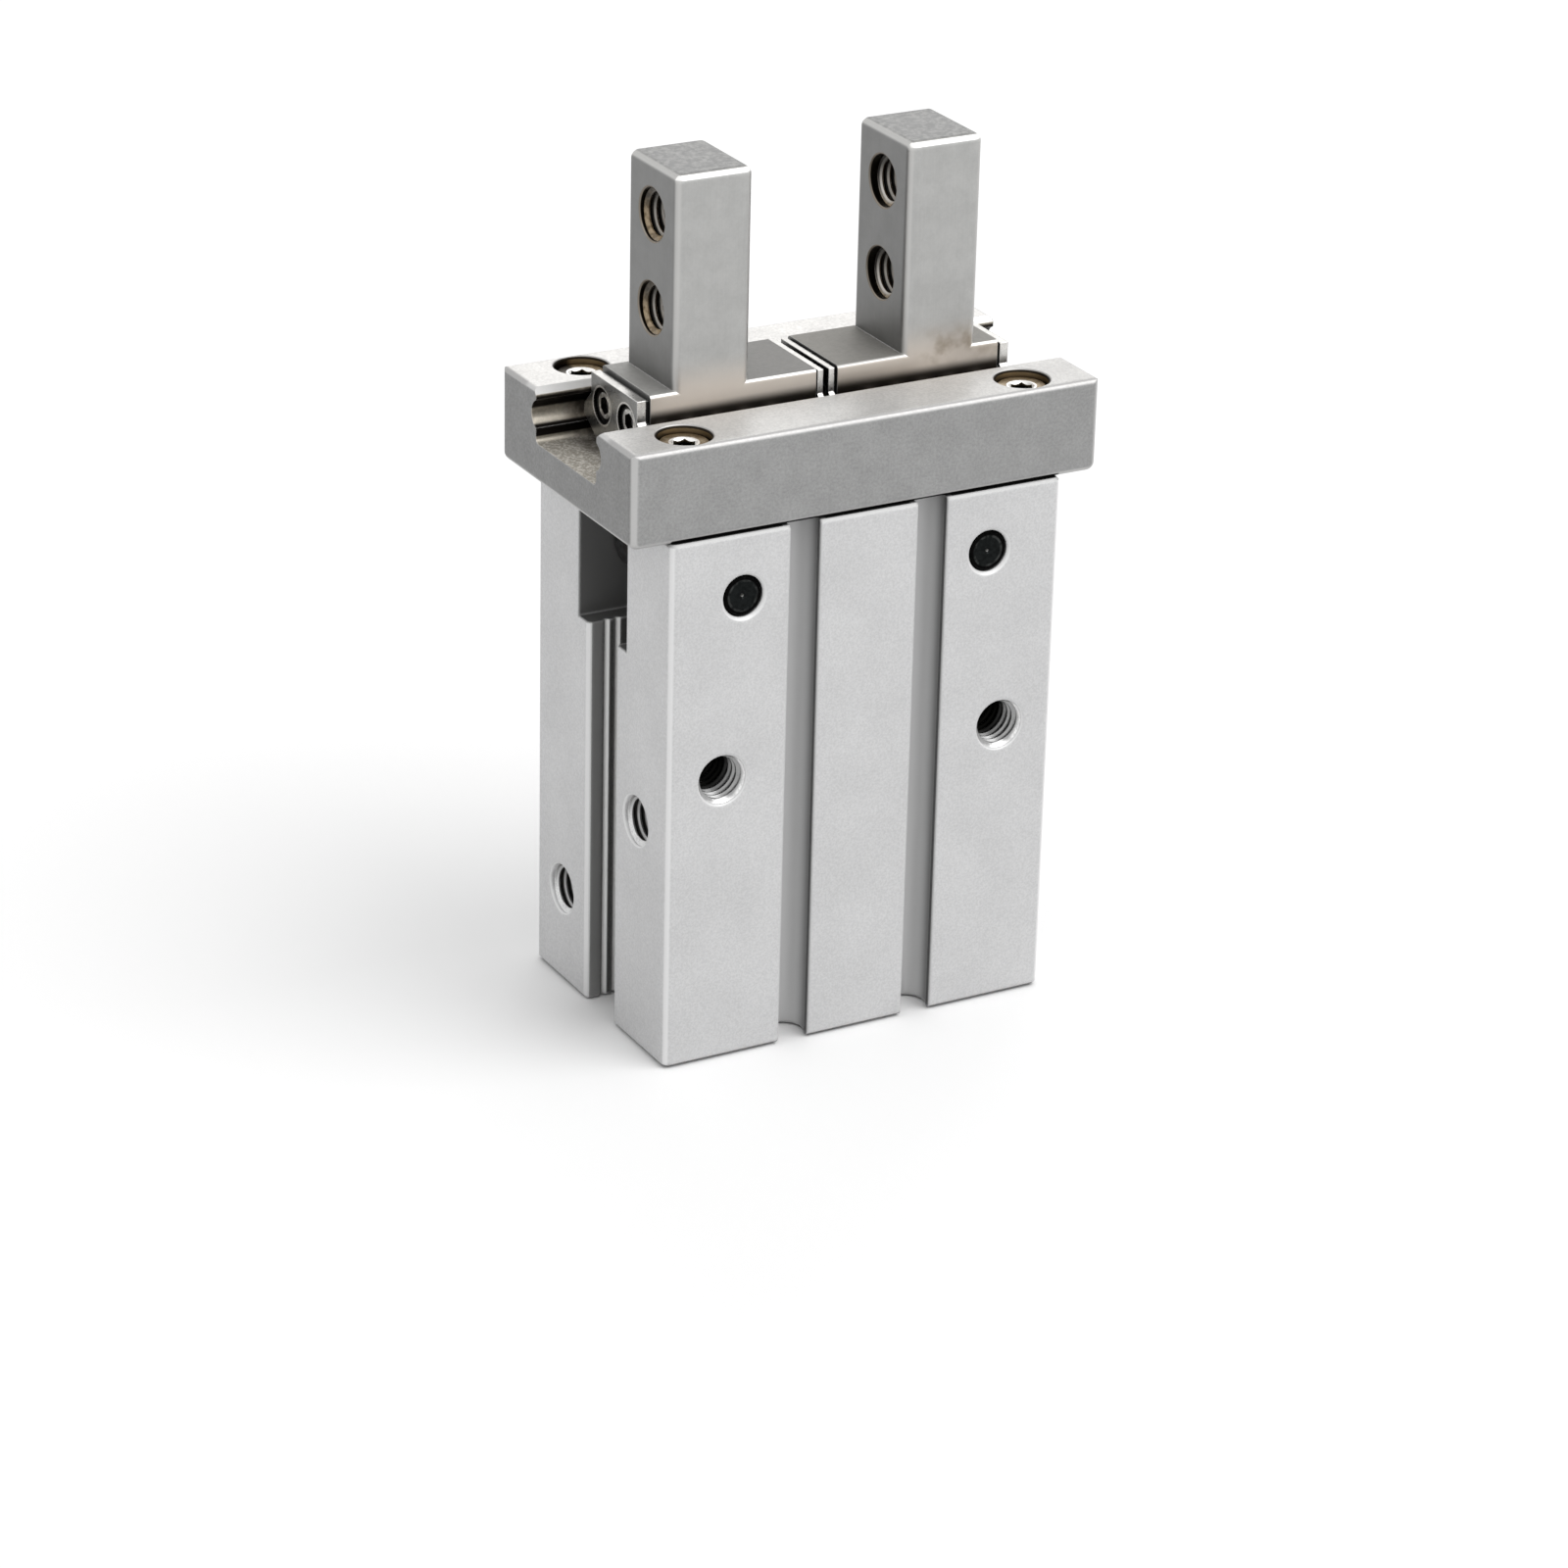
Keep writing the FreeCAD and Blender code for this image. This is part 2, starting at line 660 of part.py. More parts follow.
def make_rail_bolts():
    bolts = []
    for i, (x, y) in enumerate(corners("bolt_spacing_x", "bolt_spacing_y")):
        head_top = "bolt_seat + bolt_head_height"
        radius = "bolt_head_diameter / 2"
        head = rod(f"BoltHead{i}", radius, "bolt_head_height - bolt_head_edge", x, y, "bolt_seat")
        crown = cone(f"BoltCrown{i}", radius, f"{radius} - bolt_head_edge", "bolt_head_edge",
                     x, y, f"{head_top} - bolt_head_edge")
        shank = rod(f"BoltShank{i}", "bolt_diameter / 2", "bolt_length", x, y, "bolt_seat - bolt_length")
        socket = hexagon(f"BoltSocket{i}", "bolt_socket", "bolt_socket_depth", x, y,
                         f"{head_top} - bolt_socket_depth")
        mouth = cone(f"BoltSocketMouth{i}", "bolt_socket / 2", "bolt_socket / 2 + bolt_socket_mouth",
                     "bolt_socket_mouth", x, y, f"{head_top} - bolt_socket_mouth")
        bolts.append(cut(f"Bolt{i}", fuse(f"BoltBody{i}", [head, crown, shank]), [socket, mouth]))
    return group("RailBolts", bolts)


def make_rail_dowels():
    return group("RailDowels", [
        rod(f"Dowel_{name}", "dowel_diameter / 2", "dowel_length",
            "0", signed(face, "dowel_spacing / 2"), "dowel_foot")
        for name, face in FACES.items()])


# Fingers, each one piece with its slide

def make_finger(side, sign):
    slide = dressed_box(f"Slide_{side}", span(sign, "slide_inner", "slide_outer"),
                        ("-half_finger", "half_finger"), ("slide_bottom", "slide_top"),
                        rounds=[(along_top, "slide_edge")])
    post = dressed_box(f"Post_{side}", span(sign, "finger_inner", "finger_outer"),
                       ("-half_finger", "half_finger"), ("slide_bottom", "finger_top"),
                       rounds=[(above_foot, "finger_edge")])
    tools = [rod(f"SlideRace_{side}_{name}", "race_radius", "rail_length",
                 span(sign, "0", "rail_length")[0], signed(face, "ball_row_offset"), "ball_line", "x")
             for name, face in FACES.items()]
    start, away = ("finger_outer", "-x") if sign > 0 else ("-finger_outer", "x")
    for name, height in (("Upper", "upper_thread"), ("Lower", "lower_thread")):
        tools += tapped_hole(f"{name}Thread_{side}", "finger_thread_diameter", "finger_thickness",
                             start, "0", height, away)
        tools += tapped_hole(f"{name}ThreadBack_{side}", "finger_thread_diameter", "finger_thickness / 2",
                             signed(sign, "finger_inner"), "0", height, "x" if sign > 0 else "-x")
    half_slot = "(tip_radius + tip_gap)"
    middle = signed(sign, "tip_x")
    tools.append(box(f"TipSlot_{side}", (f"{middle} - {half_slot}", f"{middle} + {half_slot}"),
                     ("-lever_thickness / 2 - tip_end_gap", "lever_thickness / 2 + tip_end_gap"),
                     ("body_height", "pivot_z + upper_arm + tip_radius + tip_end_gap")))
    for end, sizes in ENDS.items():
        for y, name, axis in plate_screw_spots(sign, end):
            tools.append(rod(f"PlateScrewHole_{side}{name}", "plate_screw_diameter / 2",
                             f"plate_screw_length - {sizes['plate']} - {sizes['gasket']}",
                             signed(sign, sizes["seat"]), y, "plate_screw_line", axis))
    return cut(f"Finger_{side}", fuse(f"FingerBody_{side}", [slide, post]), tools)


def plate_screw_spots(sign, end):
    """The two screws of one end plate: each one's offset, name and way into the slide."""
    inward = "x" if (sign > 0) == (end == "Inner") else "-x"
    return [(signed(face, "plate_screw_spacing / 2"), f"{end}{name}", inward)
            for name, face in FACES.items()]


def plate_points(end, inset):
    """Half of an end plate's outline and its mirror image, drawn in by an inset."""
    half = [
        (f"plate_half - {inset}", f"{ENDS[end]['top']} - {inset}"),
        (f"plate_half - {inset}", f"ball_line + plate_ear_height / 2 + plate_ear - plate_half - {inset}"),
        (f"plate_ear - {inset}", f"ball_line + plate_ear_height / 2 - {inset}"),
        (f"plate_ear - {inset}", f"ball_line - plate_ear_height / 2 + {inset}"),
        (f"plate_half - plate_foot_taper - {inset}", f"plate_bottom + {inset}"),
    ]
    return half + [(f"-({y})", z) for y, z in reversed(half)]


def plate_face(sign, end):
    """The visible face of an end plate."""
    return signed(sign, ENDS[end]["face"])


def screw_top(sign, end, axis):
    """Where the heads of an end plate's screws start."""
    return f"{plate_face(sign, end)} + {1 if axis == 'x' else -1} * plate_screw_sink"


def screw_cone(name, sign, end, y, axis):
    """The countersunk head of an end plate's screw, and the seat it sits in."""
    return cone(name, "plate_screw_head / 2", "plate_screw_diameter / 2 + plate_screw_gap",
                f"{ENDS[end]['plate']} - plate_screw_sink",
                screw_top(sign, end, axis), y, "plate_screw_line", axis)


def make_end_plates(side, sign):
    plates = []
    for end, sizes in ENDS.items():
        low = "middle_gap / 2" if end == "Inner" else "slide_outer + gasket_thickness"
        thickness = sizes["plate"]
        start = span(sign, low, f"{low} + {thickness}")[0]
        blank = plate(f"EndPlate_{side}{end}", plate_points(end, "0"), "yz", start, thickness)
        tools = []
        for y, name, axis in plate_screw_spots(sign, end):
            tools.append(rod(f"PlateSink_{side}{name}", "plate_screw_mouth / 2",
                             "plate_screw_sink + plate_screw_ring",
                             plate_face(sign, end), y, "plate_screw_line", axis))
            tools.append(screw_cone(f"PlateSeat_{side}{name}", sign, end, y, axis))
        plates.append(cut(f"EndPlateDrilled_{side}{end}", blank, tools))
    return group(f"EndPlates_{side}", plates)


def make_gaskets(side, sign):
    gaskets = []
    for end, sizes in ENDS.items():
        low = "slide_outer" if end == "Outer" else "slide_inner - inner_gasket_thickness"
        thickness = sizes["gasket"]
        start = span(sign, low, f"{low} + {thickness}")[0]
        blank = plate(f"Gasket_{side}{end}", plate_points(end, "gasket_inset"), "yz", start, thickness)
        tools = [rod(f"GasketHole_{side}{name}", "plate_screw_diameter / 2 + plate_screw_gap",
                     "plate_screw_length", plate_face(sign, end), y, "plate_screw_line", axis)
                 for y, name, axis in plate_screw_spots(sign, end)]
        gaskets.append(cut(f"GasketDrilled_{side}{end}", blank, tools))
    return group(f"Gaskets_{side}", gaskets)


def make_plate_screws(side, sign):
    """Countersunk screws whose heads sit a little below the plates' faces."""
    screws = []
    for end in ENDS:
        for y, spot, axis in plate_screw_spots(sign, end):
            name = f"{side}{spot}"
            start = screw_top(sign, end, axis)
            head = screw_cone(f"PlateHead_{name}", sign, end, y, axis)
            shank = rod(f"PlateShank_{name}", "plate_screw_diameter / 2",
                        "plate_screw_length - plate_screw_sink", start, y, "plate_screw_line", axis)
            socket = hexagon(f"PlateSocket_{name}", "plate_screw_socket", "plate_screw_socket_depth",
                             start, y, "plate_screw_line", axis)
            screw = fuse(f"PlateScrewBody_{name}", [head, shank])
            screws.append(cut(f"PlateScrew_{name}", screw, [socket]))
    return group(f"PlateScrews_{side}", screws)


def make_balls(side, sign):
    balls = []
    for name, face in FACES.items():
        for i in range(round(places.ball_count)):
            ball = doc.addObject("Part::Sphere", f"Ball_{side}_{name}{i}")
            bind(ball, Radius="ball_radius")
            along = f"first_ball - {i} * ball_pitch"
            balls.append(place(ball, signed(sign, along), signed(face, "ball_row_offset"), "ball_line"))
    return group(f"Balls_{side}", balls)


# Levers and their pins

def make_lever(side, sign):
    """A bell crank drawn upright about its pivot, then turned to its closed place."""
    half = "lever_thickness / 2"
    hub_width = "(lever_slot_width - 2 * lever_hub_gap)"
    hub = rod(f"Hub_{side}", "lever_hub / 2", hub_width, y=f"-{hub_width} / 2", axis="y")
    upper = plate(f"UpperArm_{side}", [("upper_root / 2", "0"), ("upper_neck / 2", "upper_arm"),
                                       ("-upper_neck / 2", "upper_arm"), ("-upper_root / 2", "0")],
                  "xz", f"-{half}", "lever_thickness")
    reach = signed(-sign, "inner_arm")
    inner = plate(f"InnerArm_{side}", [("0", "inner_root / 2"), (reach, "inner_neck / 2"),
                                       (reach, "-inner_neck / 2"), ("0", "-inner_root / 2")],
                  "xz", f"-{half}", "lever_thickness")
    tips = [rod(f"UpperTip_{side}", "tip_radius", "lever_thickness", y=f"-{half}", z="upper_arm", axis="y"),
            rod(f"InnerTip_{side}", "tip_radius", "lever_thickness", x=reach, y=f"-{half}", axis="y")]
    hole = rod(f"HubHole_{side}", "pivot_radius + shaft_gap", "body_depth", y="-half_depth", axis="y")
    lever = cut(f"Lever_{side}", fuse(f"LeverBody_{side}", [hub, upper, inner] + tips), [hole])
    lever.Placement = FreeCAD.Placement(FreeCAD.Vector(), FreeCAD.Rotation(FreeCAD.Vector(0, -sign, 0), 1))
    lever.setExpression("Placement.Rotation.Angle", full("half_swing"))
    return place(lever, signed(sign, "pivot_x"), "0", "pivot_z")


def make_lever_pins():
    pins = []
    for side, sign in SIDES.items():
        x = signed(sign, "pivot_x")
        length = "(body_depth - 2 * pivot_end_inset)"
        start = "-half_depth + pivot_end_inset"
        pin = rod(f"PinCore_{side}", "pivot_radius", f"{length} - 2 * pivot_edge",
                  x, f"{start} + pivot_edge", "pivot_z", "y")
        ends = [cone(f"PinEnd_{side}_{name}", "pivot_radius", "pivot_radius - pivot_edge", "pivot_edge",
                     x, signed(face, f"{length} / 2 - pivot_edge"), "pivot_z", "y" if face > 0 else "-y")
                for name, face in FACES.items()]
        marks = [cone(f"PinMark_{side}_{name}", "pivot_mark", "0", "pivot_mark",
                      x, signed(face, f"{length} / 2"), "pivot_z", "-y" if face > 0 else "y")
                 for name, face in FACES.items()]
        pins.append(cut(f"Pin_{side}", fuse(f"PinBody_{side}", [pin] + ends), marks))
    return group("LeverPins", pins)


# Piston rod and its head

def make_joint_block():
    half_depth = "joint_depth / 2"
    block = dressed_box("JointCore", ("-joint_half", "joint_half"), (f"-{half_depth}", half_depth),
                        ("joint_bottom", "joint_top"), bevels=[(every, "joint_edge")])
    half_slot = "(tip_radius + tip_gap)"
    tools = [box(f"JointSlot_{side}", span(sign, "joint_web", "body_width"),
                 ("-joint_depth", "joint_depth"),
                 (f"joint_line - {half_slot}", f"joint_line + {half_slot}"))
             for side, sign in SIDES.items()]
    tools.append(rod("JointThread", "rod_top_thread / 2", "2 * rod_top_length",
                     z="joint_bottom - rod_top_length"))
    return cut("JointBlock", block, tools)


def make_piston_rod():
    foot = "piston_bottom + nut_gap"
    return fuse("PistonRod", [
        rod("RodShaft", "rod_radius", "joint_bottom - piston_upper", z="piston_upper"),
        rod("RodTop", "rod_top_thread / 2", "rod_top_length", z="joint_bottom"),
        rod("RodFoot", "rod_foot_thread / 2", f"piston_upper - ({foot})", z=foot),
    ])


def make_rod_bush():
    return tube("RodBush", "bush_diameter / 2", "rod_radius + shaft_gap", "bush_length",
                z="slot_floor - bush_length")


def make_rod_seal():
    return tube("RodSeal", "seal_diameter / 2", "rod_radius + shaft_gap", "seal_height",
                z="bore_top + retainer_height")


def make_seal_retainer():
    return tube("SealRetainer", "seal_diameter / 2", "rod_radius + bolt_hole_gap", "retainer_height",
                z="bore_top")


# Piston

def make_piston():
    """The lower half of the piston, with a groove for its seal and a recess for the nut."""
    outer = "bore_radius - piston_gap"
    blank = rod("PistonBlank", outer, "piston_skirt", z="piston_bottom")
    groove = tube("PistonGroove", "bore_radius", "bore_radius - piston_seal_depth", "piston_seal_height",
                  z="seal_floor")
    recess = rod("NutRecess", "nut_width / sqrt(3) + nut_gap", "nut_height + nut_gap", z="piston_bottom")
    hole = rod("PistonHole", "rod_foot_thread / 2", "piston_skirt", z="piston_bottom")
    return cut("PistonPiece", blank, [groove, recess, hole])


def make_piston_seal():
    return tube("PistonSeal", "seal_radius", "bore_radius - piston_seal_depth", "piston_seal_height",
                z="seal_floor")


def make_magnet():
    return tube("MagnetRing", "bore_radius - magnet_inset", "piston_hub / 2", "magnet_top - magnet_bottom",
                z="magnet_bottom")


def make_piston_top():
    """The upper half of the piston: a disc whose hub carries the magnet."""
    disc = rod("PistonDisc", "bore_radius - piston_top_inset", "piston_top_height", z="magnet_top")
    hub = rod("PistonHub", "piston_hub / 2", "magnet_top - magnet_bottom", z="magnet_bottom")
    hole = rod("PistonTopHole", "rod_foot_thread / 2", "piston_upper - magnet_bottom", z="magnet_bottom")
    return cut("PistonTop", fuse("PistonTopBody", [disc, hub]), [hole])


def make_piston_nut():
    nut = hexagon("NutBlank", "nut_width", "nut_height", z="piston_bottom + nut_gap")
    hole = rod("NutHole", "rod_foot_thread / 2", "nut_height", z="piston_bottom + nut_gap")
    return cut("PistonNut", nut, [hole])


# What closes and cushions the bore

def make_bumper(name, bottom):
    return tube(name, "bumper_outer", "bumper_bore / 2", "bumper_height", z=bottom)


def make_end_cap():
    blank = rod("CapBlank", "bore_radius - shaft_gap", "cap_thickness", z="cap_bottom")
    groove = tube("CapGroove", "bore_diameter", "bore_radius - cap_seal_section", "cap_seal_section",
                  z="cap_bottom + cap_thickness / 2 - cap_seal_section / 2")
    return cut("EndCap", blank, [groove])


def make_cap_seal():
    ring = doc.addObject("Part::Torus", "CapSeal")
    bind(ring, Radius1="bore_radius - cap_seal_section / 2", Radius2="cap_seal_section / 2")
    return place(ring, z="cap_bottom + cap_thickness / 2")


def make_retaining_ring():
    """An open ring in the bore's groove, with two drilled lugs."""
    outer = "bore_radius + ring_groove_depth"
    inner = "bore_radius - ring_reach"
    ring = tube("RingHoop", outer, inner, "ring_thickness", z="ring_inset")
    gap = box("RingGap", ("-ring_gap / 2", "ring_gap / 2"), ("-bore_diameter", "0"), ("0", "cap_top"))
    hoop = cut("RingOpened", ring, [gap])
    lugs = []
    holes = []
    for side, sign in SIDES.items():
        x = signed(sign, "(ring_gap + ring_lug) / 2")
        y = "-(bore_radius - ring_reach)"
        lugs.append(rod(f"RingLug_{side}", "ring_lug / 2", "ring_thickness", x, y, "ring_inset"))
        holes.append(rod(f"RingLugHole_{side}", "ring_lug_hole / 2", "ring_thickness", x, y, "ring_inset"))
    return cut("RetainingRing", fuse("RingBody", [hoop] + lugs), holes)


node("body", make_body())
node("guide_rail", make_rail())
node("rail_bolts", make_rail_bolts())
node("rail_dowels", make_rail_dowels())
node("lever_pins", make_lever_pins())
node("end_cap", make_end_cap())
node("cap_seal", make_cap_seal())
node("retaining_ring", make_retaining_ring())
node("rod_bush", make_rod_bush())
node("rod_seal", make_rod_seal())
node("seal_retainer", make_seal_retainer())
node("lower_bumper", make_bumper("LowerBumper", "cap_top"))
node("upper_bumper", make_bumper("UpperBumper", "bore_top - bumper_height"))
node("piston_rod", make_piston_rod())
node("joint_block", make_joint_block())
node("piston", make_piston())
node("piston_seal", make_piston_seal())
node("magnet_ring", make_magnet())
node("piston_top", make_piston_top())
node("piston_nut", make_piston_nut())
for side_name, side_sign in SIDES.items():
    node(f"finger_{side_name}", make_finger(side_name, side_sign))
    node(f"end_plates_{side_name}", make_end_plates(side_name, side_sign))
    node(f"plate_gaskets_{side_name}", make_gaskets(side_name, side_sign))
    node(f"plate_screws_{side_name}", make_plate_screws(side_name, side_sign))
    node(f"balls_{side_name}", make_balls(side_name, side_sign))
    node(f"lever_{side_name}", make_lever(side_name, side_sign))

doc.recompute()

# Checks, then one file for each sub-part

for item in doc.Objects:
    if "Invalid" in item.State or "Error" in item.State:
        raise RuntimeError(f"{item.Name} failed: {item.State}")

os.makedirs("parts", exist_ok=True)
for item in NODES:
    shape = item.Shape
    if shape.isNull() or not shape.isValid() or not shape.Solids:
        raise RuntimeError(f"{item.Label} has no valid solid")
    shape.exportStep(f"parts/{item.Label}.step")
    print(f"{item.Label}: {len(shape.Solids)} solids, {shape.Volume:.1f} mm3")
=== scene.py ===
import json
import math

import bmesh
import bpy
from mathutils import Matrix, Quaternion, Vector


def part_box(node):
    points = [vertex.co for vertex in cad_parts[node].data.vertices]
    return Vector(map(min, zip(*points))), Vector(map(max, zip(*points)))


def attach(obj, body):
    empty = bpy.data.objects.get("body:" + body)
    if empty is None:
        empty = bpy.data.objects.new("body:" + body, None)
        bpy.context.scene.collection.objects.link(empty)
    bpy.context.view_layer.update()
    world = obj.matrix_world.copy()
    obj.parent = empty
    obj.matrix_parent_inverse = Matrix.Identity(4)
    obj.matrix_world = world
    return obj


# Looks of a parallel gripper: finishes for the CAD nodes, the threads in its
# tapped holes, a pale floor, soft light and the photograph's camera.

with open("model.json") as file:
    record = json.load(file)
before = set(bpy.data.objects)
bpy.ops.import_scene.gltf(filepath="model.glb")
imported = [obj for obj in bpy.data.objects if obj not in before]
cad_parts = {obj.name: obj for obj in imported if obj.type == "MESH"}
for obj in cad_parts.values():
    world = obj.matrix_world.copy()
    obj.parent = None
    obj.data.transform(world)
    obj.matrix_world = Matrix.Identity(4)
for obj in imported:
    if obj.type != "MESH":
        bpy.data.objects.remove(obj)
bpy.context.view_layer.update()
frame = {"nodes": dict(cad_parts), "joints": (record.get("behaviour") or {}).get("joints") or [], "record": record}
NODES = frame["nodes"]
MOUNTS = {mount["name"]: mount for mount in frame["record"]["mounts"]}
JOINTS = {joint["name"]: joint for joint in frame["joints"]}
MM = 0.001
SIDES = ("left", "right")


# Places on the part, in millimetres, by which the finishes tell its surfaces apart

def reach(node, axis):
    """How far a node reaches along the positive axis."""
    return getattr(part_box(node)[1], axis) / MM


def spot(item, axes):
    """Where a mount or a joint stands along two axes, without its signs."""
    places = dict(zip("XYZ", item["pos_m"]))
    return {axis: abs(places[axis]) / MM for axis in axes}


def bolt_holes(mount):
    """Centres of a bolt pattern's holes, in metres."""
    centre, axis, dims = Vector(mount["pos_m"]), Vector(mount["axis"]), mount["dims"]
    spacing_x = dims.get("spacing_x_mm", 0.0) * MM / 2
    spacing_y = dims.get("spacing_y_mm", 0.0) * MM / 2
    if abs(axis.x) > 0.5:
        first, second = Vector((0, spacing_x, 0)), Vector((0, 0, spacing_y))
    elif abs(axis.y) > 0.5:
        first, second = Vector((spacing_x, 0, 0)), Vector((0, 0, spacing_y))
    else:
        first, second = Vector((spacing_x, 0, 0)), Vector((0, spacing_y, 0))
    signs_x = (-1, 1) if spacing_x else (0,)
    signs_y = (-1, 1) if spacing_y else (0,)
    return [centre + first * i + second * j for i in signs_x for j in signs_y]


BODY_END = reach("body", "x")
BODY_FACE = reach("body", "y")
BODY_TOP = reach("body", "z")
RAIL_END = reach("guide_rail", "x")
RAIL_TOP = reach("guide_rail", "z")
CHANNEL_FLOOR = BODY_TOP + 4.05
BALL_LINE = BODY_TOP + 6.9
SLIDE_TOP = RAIL_TOP + 2.0
SLOT_FLOOR = reach("rod_bush", "z")

# Half widths, over the teeth of the end grooves, the lever slot and the ball races
END_GROOVE_HALF = 3.34
SLOT_HALF = 5.12
RACES_HALF = 7.4

# Axes of grooves, holes, screws and pins, which stand for their mirror images too
FRONT_GROOVE = {"X": 6.85}
RAIL_BOLT = {"X": 18.1, "Y": 10.5}
PLATE_SCREW = {"Y": 2.5, "Z": 62.0}
PIN = spot(JOINTS["lever_left_pivot"], "XZ")
PORTS = [spot(MOUNTS[name], "YZ") for name in ("upper_air_port", "lower_air_port")]
FINGER_HOLES = [{"Y": 0.0, "Z": centre.z / MM} for centre in bolt_holes(MOUNTS["finger_left_threads"])]
HOLE_RADIUS = MOUNTS["finger_left_threads"]["dims"]["hole_r_mm"]

# Colours that several finishes share, all of them painted shade and shadow
BLACK = (0.008, 0.008, 0.008)
DEEP_SHADE = (0.008, 0.007, 0.006)
HOLE_SHADE = (0.01, 0.008, 0.006)
DARK_SHADE = (0.012, 0.01, 0.008)


# Building blocks for node materials

class Finish:
    """A procedural material. Its textures are laid out in millimetres of the piece itself."""

    def __init__(self, name, colour, metallic=1.0, roughness=0.4):
        self.material = bpy.data.materials.new(name)
        self.material.use_nodes = True
        self.tree = self.material.node_tree
        self.shader = self.tree.nodes["Principled BSDF"]
        self.shader.inputs["Metallic"].default_value = metallic
        self.colour = (*colour, 1.0)
        self.roughness = roughness
        self.height = None
        self.edge_normal = None
        coordinates = self.node("ShaderNodeTexCoord")
        to_mm = self.node("ShaderNodeVectorMath", operation="SCALE")
        to_mm.inputs["Scale"].default_value = 1 / MM
        self.link(coordinates.outputs["Object"], to_mm.inputs[0])
        self.place = to_mm.outputs["Vector"]

    def node(self, kind, **settings):
        """Adds a node with its settings."""
        made = self.tree.nodes.new(kind)
        for key, value in settings.items():
            setattr(made, key, value)
        return made

    def link(self, source, target):
        """Joins two sockets."""
        self.tree.links.new(source, target)

    def feed(self, value, target):
        """Gives a socket either a link or a plain value."""
        if isinstance(value, bpy.types.NodeSocket):
            self.link(value, target)
        else:
            target.default_value = value

    def math(self, operation, first, second=0.0):
        """The result of a sum, product or the like of two values."""
        made = self.node("ShaderNodeMath", operation=operation)
        self.feed(first, made.inputs[0])
        self.feed(second, made.inputs[1])
        return made.outputs[0]

    def product(self, first, *others):
        """The product of masks and numbers, so a mask of where all its masks hold."""
        for other in others:
            first = self.math("MULTIPLY", first, other)
        return first

    def ramp(self, value, low, high, out_low=0.0, out_high=1.0):
        """Maps a range of a value smoothly to another range."""
        made = self.node("ShaderNodeMapRange", interpolation_type="SMOOTHSTEP")
        self.feed(value, made.inputs["Value"])
        ends = {"From Min": low, "From Max": high, "To Min": out_low, "To Max": out_high}
        for key, number in ends.items():
            made.inputs[key].default_value = number
        return made.outputs["Result"]

    def noise(self, size, detail=3.0, stretch=(1.0, 1.0, 1.0), rough=0.5):
        """Noise with features about size millimetres across, drawn out along an axis by stretch."""
        mapping = self.node("ShaderNodeMapping")
        self.link(self.place, mapping.inputs["Vector"])
        mapping.inputs["Scale"].default_value = [1.0 / (size * s) for s in stretch]
        made = self.node("ShaderNodeTexNoise")
        made.inputs["Scale"].default_value = 1.0
        made.inputs["Detail"].default_value = detail
        made.inputs["Roughness"].default_value = rough
        self.link(mapping.outputs["Vector"], made.inputs["Vector"])
        return made.outputs["Fac"]

    def blotches(self, size):
        """A mask of soft-edged blotches about size millimetres across."""
        return self.ramp(self.noise(size, detail=4.0), 0.42, 0.62)

    def along(self, axis, absolute=False):
        """The piece's own coordinate along an axis, in millimetres, with or without its sign."""
        made = self.node("ShaderNodeSeparateXYZ")
        self.link(self.place, made.inputs[0])
        value = made.outputs[axis]
        return self.math("ABSOLUTE", value) if absolute else value

    def past(self, axis, place, blur, absolute=False):
        """A mask of what lies past a coordinate, which fades in over the blur after it."""
        return self.ramp(self.along(axis, absolute), place, place + blur)

    def short_of(self, axis, place, blur, absolute=False):
        """A mask of what lies short of a coordinate, which fades out over the blur before it."""
        return self.ramp(self.along(axis, absolute), place, place - blur)

    def band(self, axis, low, high, blur=0.2):
        """A mask of the part of the piece between two coordinates along an axis."""
        return self.product(self.past(axis, low - blur, 2 * blur),
                            self.short_of(axis, high + blur, 2 * blur))

    def distance(self, centre):
        """Distance in millimetres from a centre on one or two axes, or from its mirror images."""
        squares = []
        for axis, value in centre.items():
            offset = self.math("SUBTRACT", self.along(axis, absolute=True), value)
            squares.append(self.math("POWER", offset, 2.0))
        total = squares[0] if len(squares) == 1 else self.math("ADD", *squares)
        return self.math("SQRT", total)

    def within(self, centre, radius, blur):
        """A mask of what lies within a radius of a centre."""
        return self.ramp(self.distance(centre), radius, radius - blur)

    def facing(self, axis, absolute=False):
        """How far a face looks along +axis, from -1 to 1, or along the axis either way."""
        turn = self.node("ShaderNodeVectorTransform", vector_type="NORMAL",
                         convert_from="WORLD", convert_to="OBJECT")
        geometry = self.node("ShaderNodeNewGeometry")
        self.link(geometry.outputs["Normal"], turn.inputs[0])
        made = self.node("ShaderNodeSeparateXYZ")
        self.link(turn.outputs[0], made.inputs[0])
        value = made.outputs[axis]
        return self.math("ABSOLUTE", value) if absolute else value

    def outward(self, axis):
        """How far a face looks away from the part's middle plane across an axis."""
        return self.product(self.facing(axis), self.math("SIGN", self.along(axis)))

    def top_faces(self):
        """A mask of the faces that look up."""
        return self.ramp(self.facing("Z"), 0.5, 0.9)

    def end_faces(self):
        """A mask of the faces that look along X."""
        return self.ramp(self.facing("X", absolute=True), 0.6, 0.95)

    def oblique(self):
        """A mask of rounded and bevelled edges, whose faces look along none of the axes."""
        squarest = self.facing("X", absolute=True)
        for axis in "YZ":
            squarest = self.math("MAXIMUM", squarest, self.facing(axis, absolute=True))
        return self.ramp(squarest, 0.985, 0.85)

    def round_edges(self, radius):
        """Rounds the edges for the light, and gives the rounded normal."""
        bevel = self.node("ShaderNodeBevel", samples=6)
        bevel.inputs["Radius"].default_value = radius * MM
        self.edge_normal = bevel.outputs[0]
        return self.edge_normal

